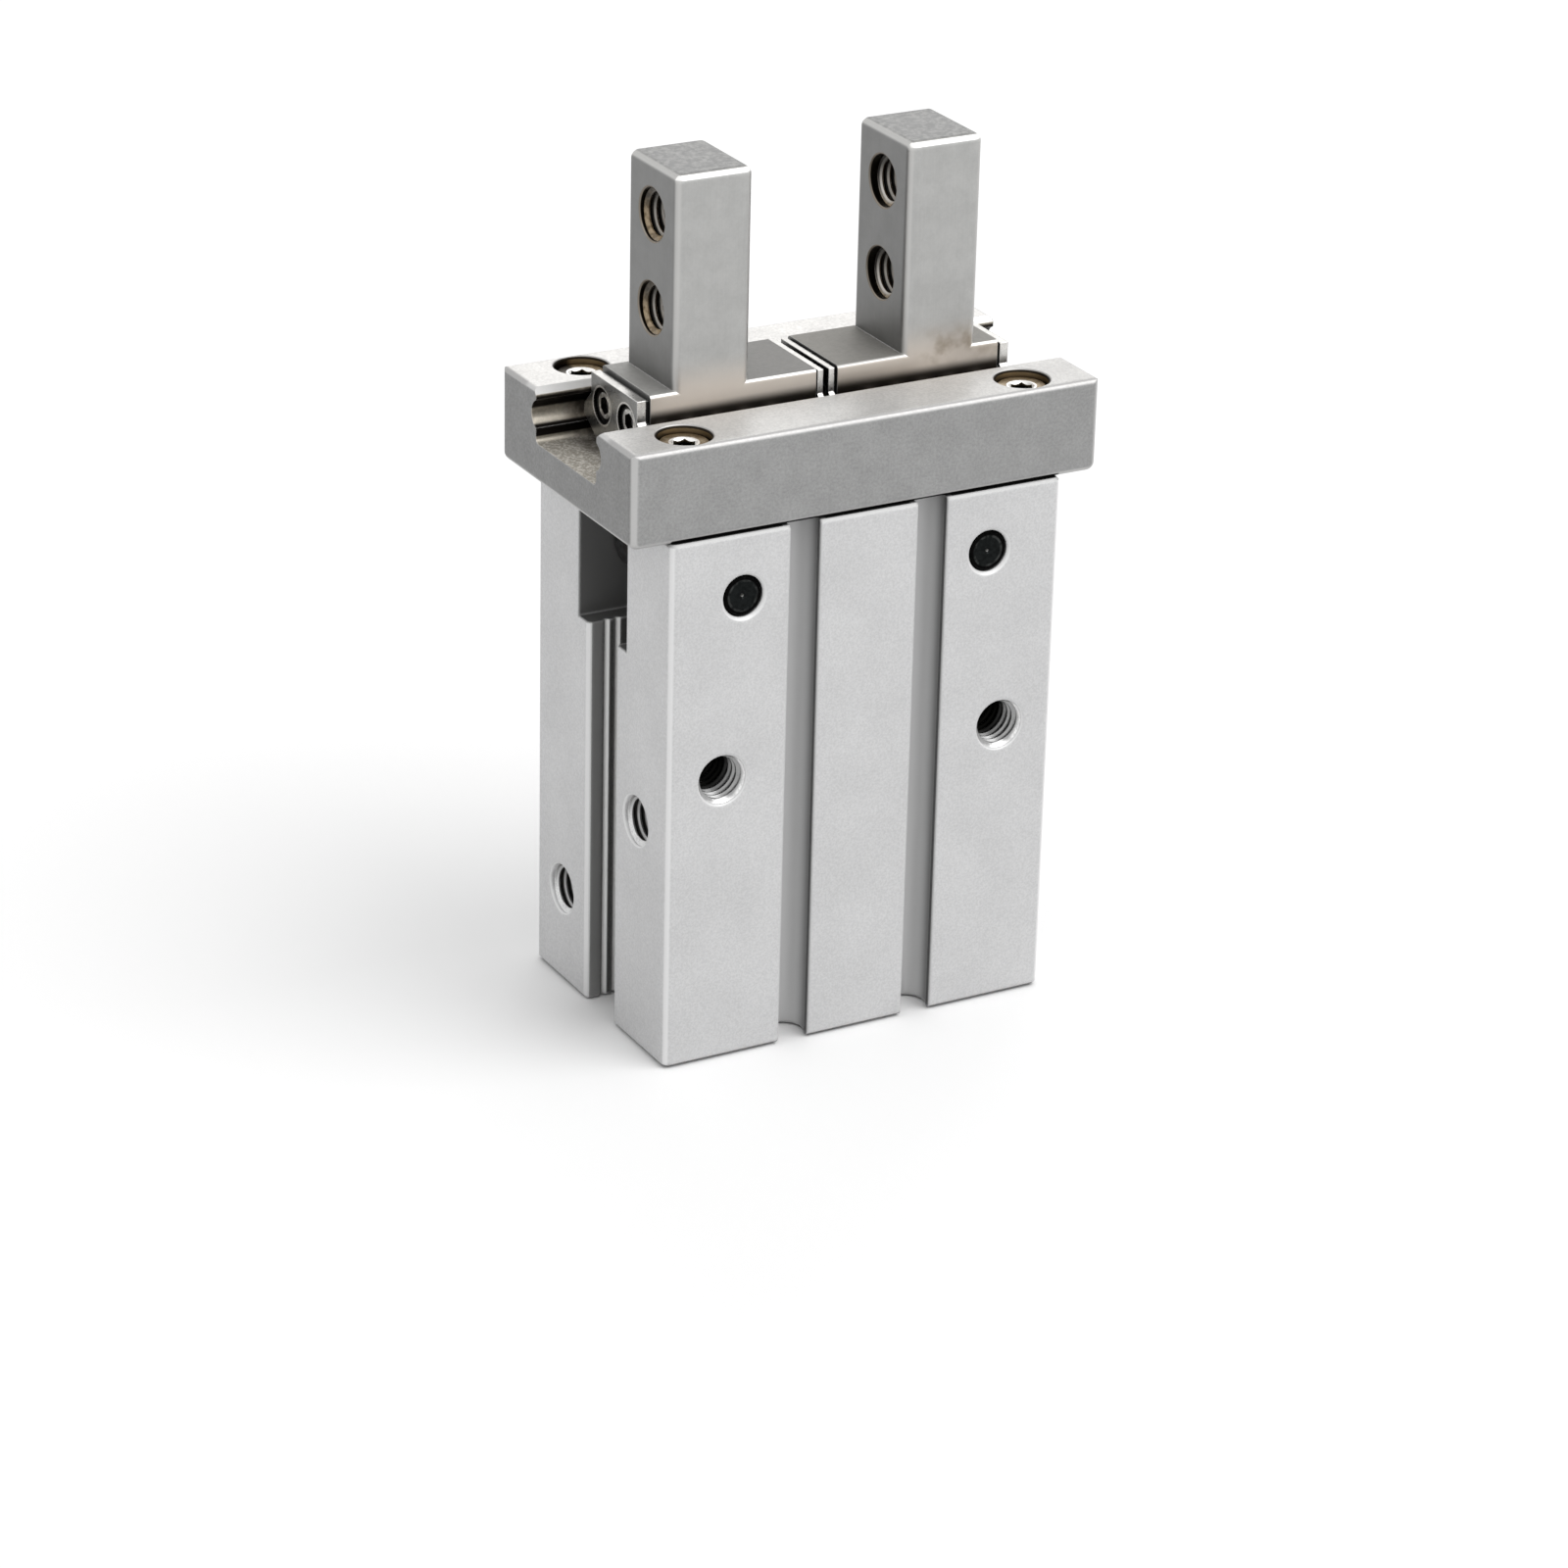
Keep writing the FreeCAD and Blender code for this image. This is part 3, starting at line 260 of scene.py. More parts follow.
    def edges(self, radius, low=0.02, high=0.3):
        """A mask of the edges, about radius millimetres wide, which also rounds them."""
        geometry = self.node("ShaderNodeNewGeometry")
        dot = self.node("ShaderNodeVectorMath", operation="DOT_PRODUCT")
        self.link(self.round_edges(radius), dot.inputs[0])
        self.link(geometry.outputs["Normal"], dot.inputs[1])
        return self.ramp(self.math("SUBTRACT", 1.0, dot.outputs["Value"]), low, high)

    def crevice(self, distance, low=0.35, high=0.85):
        """A mask of recesses and seams: 1 deep inside them, 0 on open surfaces."""
        made = self.node("ShaderNodeAmbientOcclusion", samples=8)
        made.inputs["Distance"].default_value = distance * MM
        return self.ramp(made.outputs["AO"], low, high, 1.0, 0.0)

    def tint(self, colour, *amounts):
        """Mixes a colour over the finish by the product of amounts, which are masks and numbers."""
        made = self.node("ShaderNodeMix", data_type="RGBA")
        self.feed(self.product(*amounts), made.inputs["Factor"])
        self.feed(self.colour, made.inputs[6])
        made.inputs[7].default_value = (*colour, 1.0)
        self.colour = made.outputs[2]

    def shade(self, value, low, high):
        """Multiplies the colour by a factor that runs from low to high with a texture."""
        factor = self.ramp(value, 0.3, 0.7, low, high)
        made = self.node("ShaderNodeVectorMath", operation="SCALE")
        if isinstance(self.colour, tuple):
            made.inputs[0].default_value = self.colour[:3]
        else:
            self.link(self.colour, made.inputs[0])
        self.link(factor, made.inputs["Scale"])
        self.colour = made.outputs["Vector"]

    def gloss(self, value, change):
        """Adds a change of roughness that follows a texture about its middle."""
        shift = self.product(self.math("SUBTRACT", value, 0.5), change)
        self.roughness = self.math("ADD", self.roughness, shift)

    def relief(self, value, depth):
        """Adds a bump whose depth is in millimetres."""
        self.height = self.product(value, depth)

    def finish(self):
        """Wires the shader up and gives the material."""
        self.link(self.colour, self.shader.inputs["Base Color"])
        self.feed(self.roughness, self.shader.inputs["Roughness"])
        normal = self.edge_normal
        if self.height is not None:
            bump = self.node("ShaderNodeBump")
            bump.inputs["Distance"].default_value = MM
            self.link(self.height, bump.inputs["Height"])
            if normal is not None:
                self.link(normal, bump.inputs["Normal"])
            normal = bump.outputs[0]
        if normal is not None:
            self.link(normal, self.shader.inputs["Normal"])
        return self.material


# Finishes, one function for each

def blasted_aluminium():
    """Extruded aluminium, bead blasted and anodised; its grooves and pockets are painted dark as shade, with a
    painted shadow under the rail and painted highlights on its edges.
    """
    look = Finish("blasted_aluminium", (0.65, 0.65, 0.653), metallic=0.35, roughness=0.5)
    look.shade(look.noise(7.0, detail=4.0), 0.97, 1.03)
    look.shade(look.noise(0.22, detail=3.0, rough=0.7), 0.92, 1.08)
    # Painted highlight on the rounded and bevelled edges.
    look.tint((0.88, 0.88, 0.88), look.oblique(), 0.85)

    upward = look.facing("Z")
    # Painted shade on the top bevel just under the rail, and a painted shadow, black, on the top face under the
    # rail.
    look.tint((0.58, 0.58, 0.575), look.ramp(upward, 0.3, 0.5), look.past("Z", BODY_TOP - 0.5, 0.2))
    look.tint(BLACK, look.ramp(upward, 0.9, 0.98), look.past("Z", BODY_TOP - 0.2, 0.1))

    in_front_groove = look.product(look.short_of("Y", BODY_FACE - 0.2, 0.2, absolute=True),
                                   look.within(FRONT_GROOVE, 2.3, 0.1))
    lips = look.product(look.past("Y", BODY_FACE - 0.8, 0.1, absolute=True),
                        look.ramp(look.facing("X", absolute=True), 0.8, 0.95))
    # Inside the front and rear grooves: a lighter grey, with painted shade on the walls that look away from the
    # front and darker painted shade on the groove's side walls at the mouth.
    look.tint((0.72, 0.72, 0.72), in_front_groove)
    look.tint((0.28, 0.28, 0.28), in_front_groove, look.ramp(look.outward("Y"), 0.55, -0.3))
    look.tint((0.10, 0.10, 0.10), in_front_groove, lips)

    in_end_groove = look.product(look.band("Y", -END_GROOVE_HALF, END_GROOVE_HALF, 0.03),
                                 look.short_of("X", BODY_END - 0.3, 0.1, absolute=True))
    before_teeth = look.past("X", BODY_END - 1.59, 0.05, absolute=True)
    # Painted shade in the end grooves, less dark towards the body's ends, and in the lever slot.
    look.tint((0.10, 0.10, 0.098), in_end_groove)
    look.tint((0.30, 0.30, 0.298), in_end_groove, before_teeth)
    look.tint((0.17, 0.17, 0.168), look.band("Y", -SLOT_HALF, SLOT_HALF, 0.02),
              look.past("Z", SLOT_FLOOR - 0.1, 0.05))
    # Painted highlight along the edges.
    look.tint((0.82, 0.82, 0.82), look.edges(0.5, 0.01, 0.22), 0.8)

    # Painted shade, black, in the air ports behind their mouths.
    behind_mouths = look.band("X", 0.58 - BODY_END, 5.1 - BODY_END, 0.02)
    for port in PORTS:
        look.tint((0.01, 0.01, 0.01), behind_mouths, look.within(port, HOLE_RADIUS + 0.06, 0.04))
    # Painted shade in recesses and seams.
    look.tint((0.02, 0.02, 0.02), look.crevice(2.0, 0.05, 0.5), 0.9)
    # Painted highlight, near white, on the faces of the end grooves' teeth that look outward.
    above_floor = look.past("X", BODY_END - 4.95, 0.1, absolute=True)
    look.tint((0.95, 0.95, 0.94), in_end_groove, above_floor, look.ramp(look.outward("X"), 0.4, 0.6))
    look.gloss(look.noise(0.4), 0.15)
    look.relief(look.noise(0.12, detail=2.0), 0.006)
    return look.finish()


def rear_shade(look):
    """A mask of the far halves of the two rear rail screws and of their holes, where shade is painted."""
    return look.product(look.past("X", RAIL_BOLT["X"] - 0.3, 0.7, absolute=True),
                        look.past("Y", -1.0, 2.0))


def tumbled_rail():
    """Hardened rail steel with a fine sandy satin surface, its channel stained and oily; light and shade are
    painted on its ends, tops, edges, channel, holes and foot.
    """
    look = Finish("tumbled_rail", (0.375, 0.375, 0.373), roughness=0.42)
    # Painted shade on the end faces and painted light on the top faces.
    look.tint((0.27, 0.27, 0.268), look.end_faces())
    look.tint((0.56, 0.55, 0.535), look.top_faces())
    look.shade(look.noise(2.5, detail=5.0, rough=0.6), 0.95, 1.05)
    look.shade(look.noise(0.28, detail=4.0, rough=0.75), 0.88, 1.12)
    bevels = look.oblique()
    # Painted highlight on the bevels, dimmer on the outer upper ones.
    look.tint((0.60, 0.597, 0.59), bevels, 0.9)
    look.tint((0.42, 0.415, 0.41), bevels, look.ramp(look.facing("Z"), 0.1, 0.3),
              look.past("Y", 8.0, 1.0, absolute=True), 0.95)

    channel = look.product(look.band("Y", -RACES_HALF, RACES_HALF, 0.02),
                           look.band("Z", CHANNEL_FLOOR - 0.1, RAIL_TOP - 0.58, 0.03),
                           look.ramp(look.facing("X", absolute=True), 0.8, 0.5))
    floor = look.product(channel, look.ramp(look.facing("Z"), 0.8, 0.95))
    speck = look.ramp(look.noise(0.35, detail=4.0, rough=0.75), 0.45, 0.6)
    by_plates = look.product(look.short_of("X", RAIL_END - 2.4, 2.4, absolute=True),
                             look.ramp(look.noise(1.6, detail=4.0), 0.3, 0.6))
    look.tint((0.44, 0.40, 0.33), channel, 0.85)
    look.tint((0.60, 0.55, 0.47), channel, speck, 0.5)
    look.tint((0.40, 0.375, 0.33), floor, 0.9)
    look.tint((0.84, 0.82, 0.775), floor, speck, 0.62)
    # Painted shade in the channel near the end plates.
    look.tint((0.07, 0.055, 0.042), channel, by_plates, 0.75)
    # Painted shade, nearly black, in bands over and under the ball races: a painted dark reflection in the upper
    # race and a painted shadow under its lower lip.
    look.tint((0.02, 0.017, 0.014), channel, look.band("Z", BALL_LINE + 0.3, BALL_LINE + 1.75, 0.15))
    look.tint((0.012, 0.01, 0.009), channel, look.band("Z", BALL_LINE - 2.25, BALL_LINE - 1.15, 0.1))
    # Painted highlight along the edges.
    look.tint((0.60, 0.595, 0.58), look.edges(0.2, 0.01, 0.2), 0.5)
    # Painted shadow, black, along the rail's foot over the body.
    look.tint(BLACK, look.short_of("Z", BODY_TOP + 0.45, 0.1),
              look.short_of("X", BODY_END - 0.1, 0.1, absolute=True))

    in_bolt_hole = look.product(look.within(RAIL_BOLT, 2.74, 0.04), look.past("Z", RAIL_TOP - 3.2, 0.1))
    look.tint((0.26, 0.20, 0.12), in_bolt_hole)
    # Painted shade in the bolt holes: on the walls that look along +X, on the rear holes' far halves and in a band
    # just under the rim.
    look.tint(HOLE_SHADE, in_bolt_hole, look.ramp(look.facing("X"), 0.5, 0.85))
    look.tint(HOLE_SHADE, in_bolt_hole, rear_shade(look), 0.9)
    look.tint((0.02, 0.016, 0.012), in_bolt_hole, look.past("Z", RAIL_TOP - 0.35, 0.1))
    # Painted shade in recesses and seams.
    look.tint((0.015, 0.012, 0.01), look.crevice(1.5, 0.1, 0.6), 0.95)

    front_top = look.product(look.top_faces(), look.past("Z", RAIL_TOP - 0.2, 0.1),
                             look.short_of("Y", -6.9, 0.2))
    look.link(look.ramp(front_top, 0.0, 1.0, 1.0, 0.3), look.shader.inputs["Metallic"])
    look.gloss(look.noise(0.3), 0.25)
    look.roughness = look.math("ADD", look.roughness, look.product(floor, 0.3))
    look.relief(look.noise(0.2, detail=4.0, rough=0.7), 0.006)
    return look.finish()


def finger_steel():
    """Satin ground steel, warmer and stained near the rail; its ends and tops are painted darker as shade, its
    edges carry painted highlights, and shade is painted in its holes, its crevices and along its foot.
    """
    look = Finish("finger_steel", (0.50, 0.50, 0.49), roughness=0.56)
    # Painted shade on the end faces.
    look.tint((0.24, 0.24, 0.237), look.end_faces())
    look.shade(look.noise(0.12, detail=3.0, stretch=(1.0, 1.0, 40.0)), 0.985, 1.015)
    look.shade(look.noise(2.5, detail=5.0, rough=0.6), 0.95, 1.05)
    look.shade(look.noise(0.3, detail=4.0, rough=0.7), 0.97, 1.03)

    top = look.top_faces()
    slide_top = look.product(top, look.short_of("Z", SLIDE_TOP + 1.3, 0.9))
    # Painted shade and reflection on the top faces: the tops darker, the slides' tops less dark, in steps along X.
    look.tint((0.145, 0.145, 0.143), top)
    look.tint((0.30, 0.295, 0.285), slide_top)
    look.tint((0.42, 0.415, 0.40), slide_top, look.short_of("X", -12.0, 1.0))
    look.tint((0.33, 0.32, 0.30), slide_top, look.past("X", -0.5, 1.0))
    look.gloss(slide_top, 0.32)
    sand = look.product(look.ramp(look.noise(0.7, detail=5.0, rough=0.75), 0.42, 0.62),
                        look.ramp(look.along("Z"), SLIDE_TOP + 0.8, SLIDE_TOP + 4.8, 0.3, 1.0))
    look.tint((0.24, 0.238, 0.23), sand, top, 0.8)

    front = look.ramp(look.facing("Y", absolute=True), 0.6, 0.9)
    look.tint((0.72, 0.65, 0.58), front, look.short_of("Z", SLIDE_TOP + 3.3, 4.0), 0.85)
    stain = look.product(look.band("Z", SLIDE_TOP - 1.2, SLIDE_TOP + 1.7, 1.1), look.past("X", 9.0, 3.0),
                         look.ramp(look.noise(2.6, detail=3.0), 0.4, 0.62))
    look.tint((0.30, 0.24, 0.17), front, stain, 0.65)
    # Painted shade low on the front faces near the middle gap, and a painted shadow, nearly black, along their
    # foot over the rail.
    near_gap = look.product(look.past("X", 0.0, 0.2), look.short_of("X", 11.0, 3.0))
    look.tint((0.20, 0.165, 0.13), front, look.short_of("Z", SLIDE_TOP - 0.2, 1.4), near_gap, 0.38)
    look.tint((0.03, 0.024, 0.018), front, look.short_of("Z", RAIL_TOP + 0.75, 1.1), 0.95)
    # Painted highlight on the rounded and bevelled edges.
    look.tint((0.62, 0.615, 0.60), look.oblique(), 0.7)

    # Painted highlight, near white, on the upper bevels along the front and back, on the left finger and the outer
    # part of the right one.
    upward = look.facing("Z")
    upper_bevels = look.product(look.ramp(upward, 0.3, 0.45), look.ramp(upward, 0.9, 0.8),
                                look.ramp(look.facing("Y", absolute=True), 0.2, 0.35))
    highlight_zone = look.math("MAXIMUM", look.past("X", 8.4, 0.2, absolute=True), look.short_of("X", 0.2, 0.4))
    look.tint((0.97, 0.965, 0.95), upper_bevels, highlight_zone)
    # Painted highlight along the edges.
    look.tint((0.70, 0.695, 0.68), look.edges(0.12, 0.01, 0.2), 0.5)
    # Round each tapped hole a brown rim, and painted shade, black, in the hole.
    for hole in FINGER_HOLES:
        look.tint((0.20, 0.165, 0.125), look.within(hole, HOLE_RADIUS + 0.22, 0.06), 0.85)
        look.tint((0.015, 0.012, 0.008), look.within(hole, HOLE_RADIUS + 0.06, 0.04))
    # Painted shade in recesses and seams.
    look.tint(DARK_SHADE, look.crevice(1.5, 0.05, 0.55), 0.95)
    look.gloss(look.noise(0.3), 0.15)
    look.relief(look.noise(0.15, detail=3.0), 0.002)
    return look.finish()


def plate_steel():
    """Thin stamped plates: their end and top faces painted darker as shade, and their sheared edges painted bright
    as highlight.
    """
    look = Finish("plate_steel", (0.86, 0.85, 0.83), roughness=0.3)
    # Painted shade on the end and top faces.
    look.tint((0.28, 0.28, 0.275), look.end_faces())
    look.tint((0.50, 0.49, 0.47), look.top_faces())
    look.shade(look.noise(0.8, detail=4.0), 0.9, 1.1)
    look.shade(look.noise(0.15, detail=3.0), 0.93, 1.07)
    # Painted highlight along the edges.
    look.tint((0.85, 0.84, 0.82), look.edges(0.15, 0.01, 0.2), 0.8)
    # Painted shade in recesses and seams.
    look.tint(DARK_SHADE, look.crevice(1.2, 0.15, 0.7), 0.95)
    # A painted highlight round each screw's sink, and painted shade, black, in the sink.
    look.tint((0.80, 0.79, 0.77), look.within(PLATE_SCREW, 2.0, 0.08), 0.9)
    look.tint((0.010, 0.009, 0.008), look.within(PLATE_SCREW, 1.80, 0.06))
    look.gloss(look.noise(0.3), 0.2)
    look.relief(look.noise(0.15), 0.003)
    return look.finish()


def blotched_steel(name, colour, stain, roughness=0.35, edge=(0.7, 0.68, 0.64)):
    """A small steel part with blotches of another colour, painted highlights on its edges and painted shade in its
    recesses.
    """
    look = Finish(name, colour, roughness=roughness)
    look.tint(stain, look.blotches(0.7))
    look.shade(look.noise(0.15, detail=3.0), 0.85, 1.15)
    # Painted highlight along the edges.
    look.tint(edge, look.edges(0.1), 0.7)
    # Painted shade in recesses.
    look.tint(DEEP_SHADE, look.crevice(1.5, 0.1, 0.7), 0.95)
    look.gloss(look.noise(0.3), 0.25)
    look.relief(look.noise(0.1), 0.004)
    return look.finish()


def rail_screw():
    """A blackened and oiled socket screw, its socket's mouth painted bright as a highlight, with painted shade
    round its head, on the rear screws' far halves and deep in its socket.
    """
    look = Finish("oiled_screw", (0.24, 0.18, 0.11), roughness=0.35)
    look.tint((0.36, 0.29, 0.20), look.blotches(0.7))
    look.shade(look.noise(0.15, detail=3.0), 0.85, 1.15)
    # Painted shade round the head's rim and on the rear screws' far halves.
    look.tint(DARK_SHADE, look.ramp(look.distance(RAIL_BOLT), 2.35, 2.45))
    look.tint(DARK_SHADE, rear_shade(look), 0.9)
    # Painted highlight on the socket's mouth, and painted shade, black, deep in the socket.
    look.tint((0.95, 0.94, 0.92), look.within(RAIL_BOLT, 1.48, 0.06), look.ramp(look.facing("Z"), 0.3, 0.5))
    look.tint(DEEP_SHADE, look.within(RAIL_BOLT, 1.8, 0.05), look.short_of("Z", RAIL_TOP - 1.0, 0.2))
    look.round_edges(0.08)
    look.gloss(look.noise(0.3), 0.25)
    look.relief(look.noise(0.1), 0.004)
    return look.finish()


def pin_steel():
    """Blackened pivot pins with turned rings and a bright centre mark in their ends."""
    look = Finish("pin_steel", (0.003, 0.003, 0.003), roughness=0.4)
    inner = look.within(PIN, 1.62, 0.06)
    outside_disc = look.ramp(look.distance(PIN), 1.34, 1.40)
    look.tint((0.012, 0.0135, 0.0135), inner)
    look.tint((0.042, 0.044, 0.043), inner, outside_disc, look.ramp(look.noise(0.7), 0.35, 0.6))
    look.shade(look.noise(0.35, detail=3.0), 0.75, 1.25)
    look.tint((0.25, 0.25, 0.24), look.within(PIN, 0.18, 0.06))
    look.gloss(look.noise(0.3), 0.25)
    look.relief(look.noise(0.1), 0.004)
    return look.finish()


def plate_screw():
    """A small countersunk screw: a light flat ring, brighter in patches, between the sink and the socket, which
    are black as painted shade.
    """
    look = Finish("small_screw", (0.012, 0.011, 0.01), roughness=0.35)
    ring = look.product(look.end_faces(), look.within(PLATE_SCREW, 1.3, 0.08))
    look.tint((0.52, 0.51, 0.49), ring)
    look.tint((0.90, 0.89, 0.87), ring, look.ramp(look.noise(0.7, detail=3.0), 0.48, 0.6))
    look.shade(look.noise(0.15, detail=3.0), 0.85, 1.15)
    # Painted shade in recesses and seams.
    look.tint(DEEP_SHADE, look.crevice(0.8, 0.1, 0.6), 0.95)
    look.gloss(look.noise(0.3), 0.25)
    look.relief(look.noise(0.1), 0.004)
    return look.finish()


def gasket():
    """Black sealing rubber, grey on its top faces away from the middle."""
    look = Finish("black_gasket", (0.012, 0.012, 0.012), metallic=0.0, roughness=0.6)
    look.shader.inputs["Specular IOR Level"].default_value = 0.2
    look.tint((0.24, 0.24, 0.235), look.top_faces(), look.past("X", 8.0, 1.0, absolute=True), 0.9)
    look.shade(look.noise(0.3, detail=3.0), 0.8, 1.2)
    look.gloss(look.noise(0.5), 0.2)
    look.relief(look.noise(0.15), 0.006)
    return look.finish()


def cut_thread(name, colour, stain, crest, flank, deep, metallic=1.0, start=0.25, upper_shade=0.0, through=None):
    """A tapped hole's thread, Z down the hole.

    Crest and flank are its colours from the depth start on, painted light and shade by which way its faces look;
    the argument that follows start sets how dark its upper side is painted as shade, and it's painted black as
    shade past the depth deep. A hole that goes through is the same from either end.
    """
    look = Finish(name, colour, metallic=metallic, roughness=0.24)
    look.tint(stain, look.blotches(0.6))
    look.shade(look.noise(0.15, detail=3.0), 0.85, 1.15)
    depth = look.along("Z")
    if through is not None:
        depth = look.math("MINIMUM", depth, look.math("SUBTRACT", through, depth))
    turned = look.facing("Z", absolute=True)
    behind_mouth = look.ramp(depth, start, start + 0.25)
    # Painted light and shade on the ridge by which way its faces look: flanks in one colour, crests in another.
    look.tint(flank, look.ramp(turned, 0.3, 0.6), behind_mouth, 0.85)
    look.tint(crest, look.ramp(turned, 0.6, 0.3), behind_mouth, 0.9)
    if upper_shade > 0.0:
        # Painted shade at the ridge's root and on the hole's upper side.
        root = look.ramp(look.distance({"X": 0.0, "Y": 0.0}), 2.24, 2.36)
        look.tint(HOLE_SHADE, root, behind_mouth, 0.95)
        look.tint((0.015, 0.012, 0.010), look.past("Y", -1.2, 2.6), upper_shade)
    look.round_edges(0.06)
    # Painted shade, black, deep in the hole.
    look.tint((0.004, 0.004, 0.0035), look.ramp(depth, deep, deep + 2.0))
    look.gloss(look.noise(0.3), 0.2)
    look.relief(look.noise(0.1), 0.004)
    return look.finish()


def turned_metal(name, colour, roughness=0.3):
    """Metal turned in a lathe about the vertical axis, with fine rings, painted highlights on its edges and
    painted shade in its recesses.
    """
    look = Finish(name, colour, roughness=roughness)
    rings = look.noise(0.1, stretch=(30.0, 30.0, 1.0))
    look.shade(rings, 0.93, 1.07)
    look.shade(look.noise(3.0), 0.95, 1.05)
    # Painted highlight along the edges, and painted shade in recesses.
    look.tint((0.85, 0.85, 0.84), look.edges(0.15), 0.6)
    look.tint((0.02, 0.02, 0.02), look.crevice(2.0, 0.1, 0.7), 0.9)
    look.relief(rings, 0.004)
    return look.finish()


def moulded(name, colour, roughness=0.6):
    """Rubber or bonded magnet with a fine matt grain and painted highlights on its edges."""
    look = Finish(name, colour, metallic=0.0, roughness=roughness)
    look.shader.inputs["Specular IOR Level"].default_value = 0.2
    look.shade(look.noise(0.3, detail=3.0), 0.85, 1.15)
    # Painted highlight along the edges.
    look.tint([min(1.0, 2.2 * c) for c in colour], look.edges(0.12), 0.5)
    look.gloss(look.noise(0.5), 0.2)
    look.relief(look.noise(0.15), 0.006)
    return look.finish()


BLASTED = blasted_aluminium()
RAIL = tumbled_rail()
FINGER = finger_steel()
PLATE = plate_steel()
RAIL_SCREW = rail_screw()
SMALL_SCREW = plate_screw()
NUT = blotched_steel("nut_steel", (0.30, 0.29, 0.27), (0.20, 0.18, 0.15))
GASKET = gasket()
PIVOT = pin_steel()
BLACKED = blotched_steel("blacked_steel", (0.007, 0.0065, 0.006), (0.016, 0.014, 0.011), roughness=0.3,
                     edge=(0.05, 0.048, 0.045))
LEVER = blotched_steel("lever_steel", (0.16, 0.16, 0.165), (0.10, 0.09, 0.09))
BRONZE = turned_metal("sintered_bronze", (0.50, 0.36, 0.18), roughness=0.45)
CHROME = turned_metal("hard_chrome", (0.66, 0.66, 0.67), roughness=0.15)
TURNED = turned_metal("turned_aluminium", (0.60, 0.60, 0.59), roughness=0.4)
RUBBER = moulded("black_rubber", (0.022, 0.022, 0.023))
MAGNET = moulded("bonded_magnet", (0.05, 0.045, 0.045), roughness=0.5)
AMBER = moulded("amber_rubber", (0.22, 0.10, 0.03), roughness=0.4)
# The threads' crest and flank colours are painted light and shade, and the ports' threads are painted near white
# as painted light.
THREAD_STEEL = cut_thread(
    "thread_steel", (0.46, 0.35, 0.22), stain=(0.20, 0.14, 0.07), crest=(0.06, 0.04, 0.025),
    flank=(0.97, 0.94, 0.88), deep=2.6, metallic=0.1, start=0.7, upper_shade=0.85, through=8.0)
THREAD_BRIGHT = cut_thread(
    "thread_bright", (0.95, 0.95, 0.945), stain=(0.85, 0.85, 0.85), crest=(0.10, 0.10, 0.10),
    flank=(0.98, 0.98, 0.98), deep=2.8, metallic=0.1, start=0.5, upper_shade=0.5)
THREAD_ALUMINIUM = cut_thread(
    "thread_aluminium", (0.88, 0.88, 0.875), stain=(0.70, 0.70, 0.70), crest=(0.95, 0.95, 0.95),
    flank=(0.30, 0.30, 0.30), deep=1.8)

FINISH_OF = {
    "body": BLASTED, "guide_rail": RAIL, "rail_bolts": RAIL_SCREW, "rail_dowels": BLACKED,
    "lever_pins": PIVOT, "end_cap": TURNED, "cap_seal": RUBBER, "retaining_ring": LEVER,
    "rod_bush": BRONZE, "rod_seal": RUBBER, "seal_retainer": TURNED, "lower_bumper": AMBER,
    "upper_bumper": AMBER, "piston_rod": CHROME, "joint_block": LEVER, "piston": TURNED,
    "piston_seal": RUBBER, "magnet_ring": MAGNET, "piston_top": TURNED, "piston_nut": NUT,
}
for side in SIDES:
    FINISH_OF.update({
        f"finger_{side}": FINGER, f"end_plates_{side}": PLATE, f"plate_gaskets_{side}": GASKET,
        f"plate_screws_{side}": SMALL_SCREW, f"balls_{side}": CHROME, f"lever_{side}": LEVER,
    })
for name, item in NODES.items():
    item.data.materials.clear()
    item.data.materials.append(FINISH_OF[name])


# Threads in the tapped holes

STEPS = 48               # sections in each turn
THREAD_DEPTH = 0.54      # height of the ridge, in pitches
BASE_HALF = 0.42         # half the ridge's width at the wall, in pitches
CREST_HALF = 0.09        # half its width at the crest, in pitches
RUN_OUT = 0.25           # turns over which the ridge sinks into the wall at its end
LEAST_GROWTH = 0.08      # share of its height that is left there
MOUTH = 0.15 * MM
SUNK = 0.03 * MM
SKIN = 0.01 * MM
SHARP_ANGLE = math.radians(35)


def ridge(diameter, pitch, length):
    """A mesh of one thread's ridge, a closed solid that winds down a hole from its bevelled mouth."""
    wall = diameter / 2 + SUNK
    height = THREAD_DEPTH * pitch + SUNK
    base_half, crest_half = BASE_HALF * pitch, CREST_HALF * pitch
    count = round((length - base_half) / pitch * STEPS)
    mesh = bmesh.new()
    rings = []
    for i in range(count + 1):
        angle = 2 * math.pi * i / STEPS
        outward = Vector((math.cos(angle), math.sin(angle), 0.0))
        middle = pitch * i / STEPS
        growth = max(LEAST_GROWTH, min(1.0, (count - i) / (RUN_OUT * STEPS)))
        crest = wall - height * growth
        ring = []
        for radius, offset in ((wall, -base_half), (crest, -crest_half),
                               (crest, crest_half), (wall, base_half)):
            depth = max(SKIN, middle + offset)
            radius = max(radius, wall + MOUTH - depth)
            ring.append(mesh.verts.new((outward.x * radius, outward.y * radius, depth)))
        rings.append(ring)
    for before, after in zip(rings, rings[1:]):
        for k in range(4):
            mesh.faces.new((before[k], before[(k + 1) % 4], after[(k + 1) % 4], after[k]))
    mesh.faces.new(rings[0][::-1])
    mesh.faces.new(rings[-1])
    bmesh.ops.recalc_face_normals(mesh, faces=mesh.faces)
    return mesh


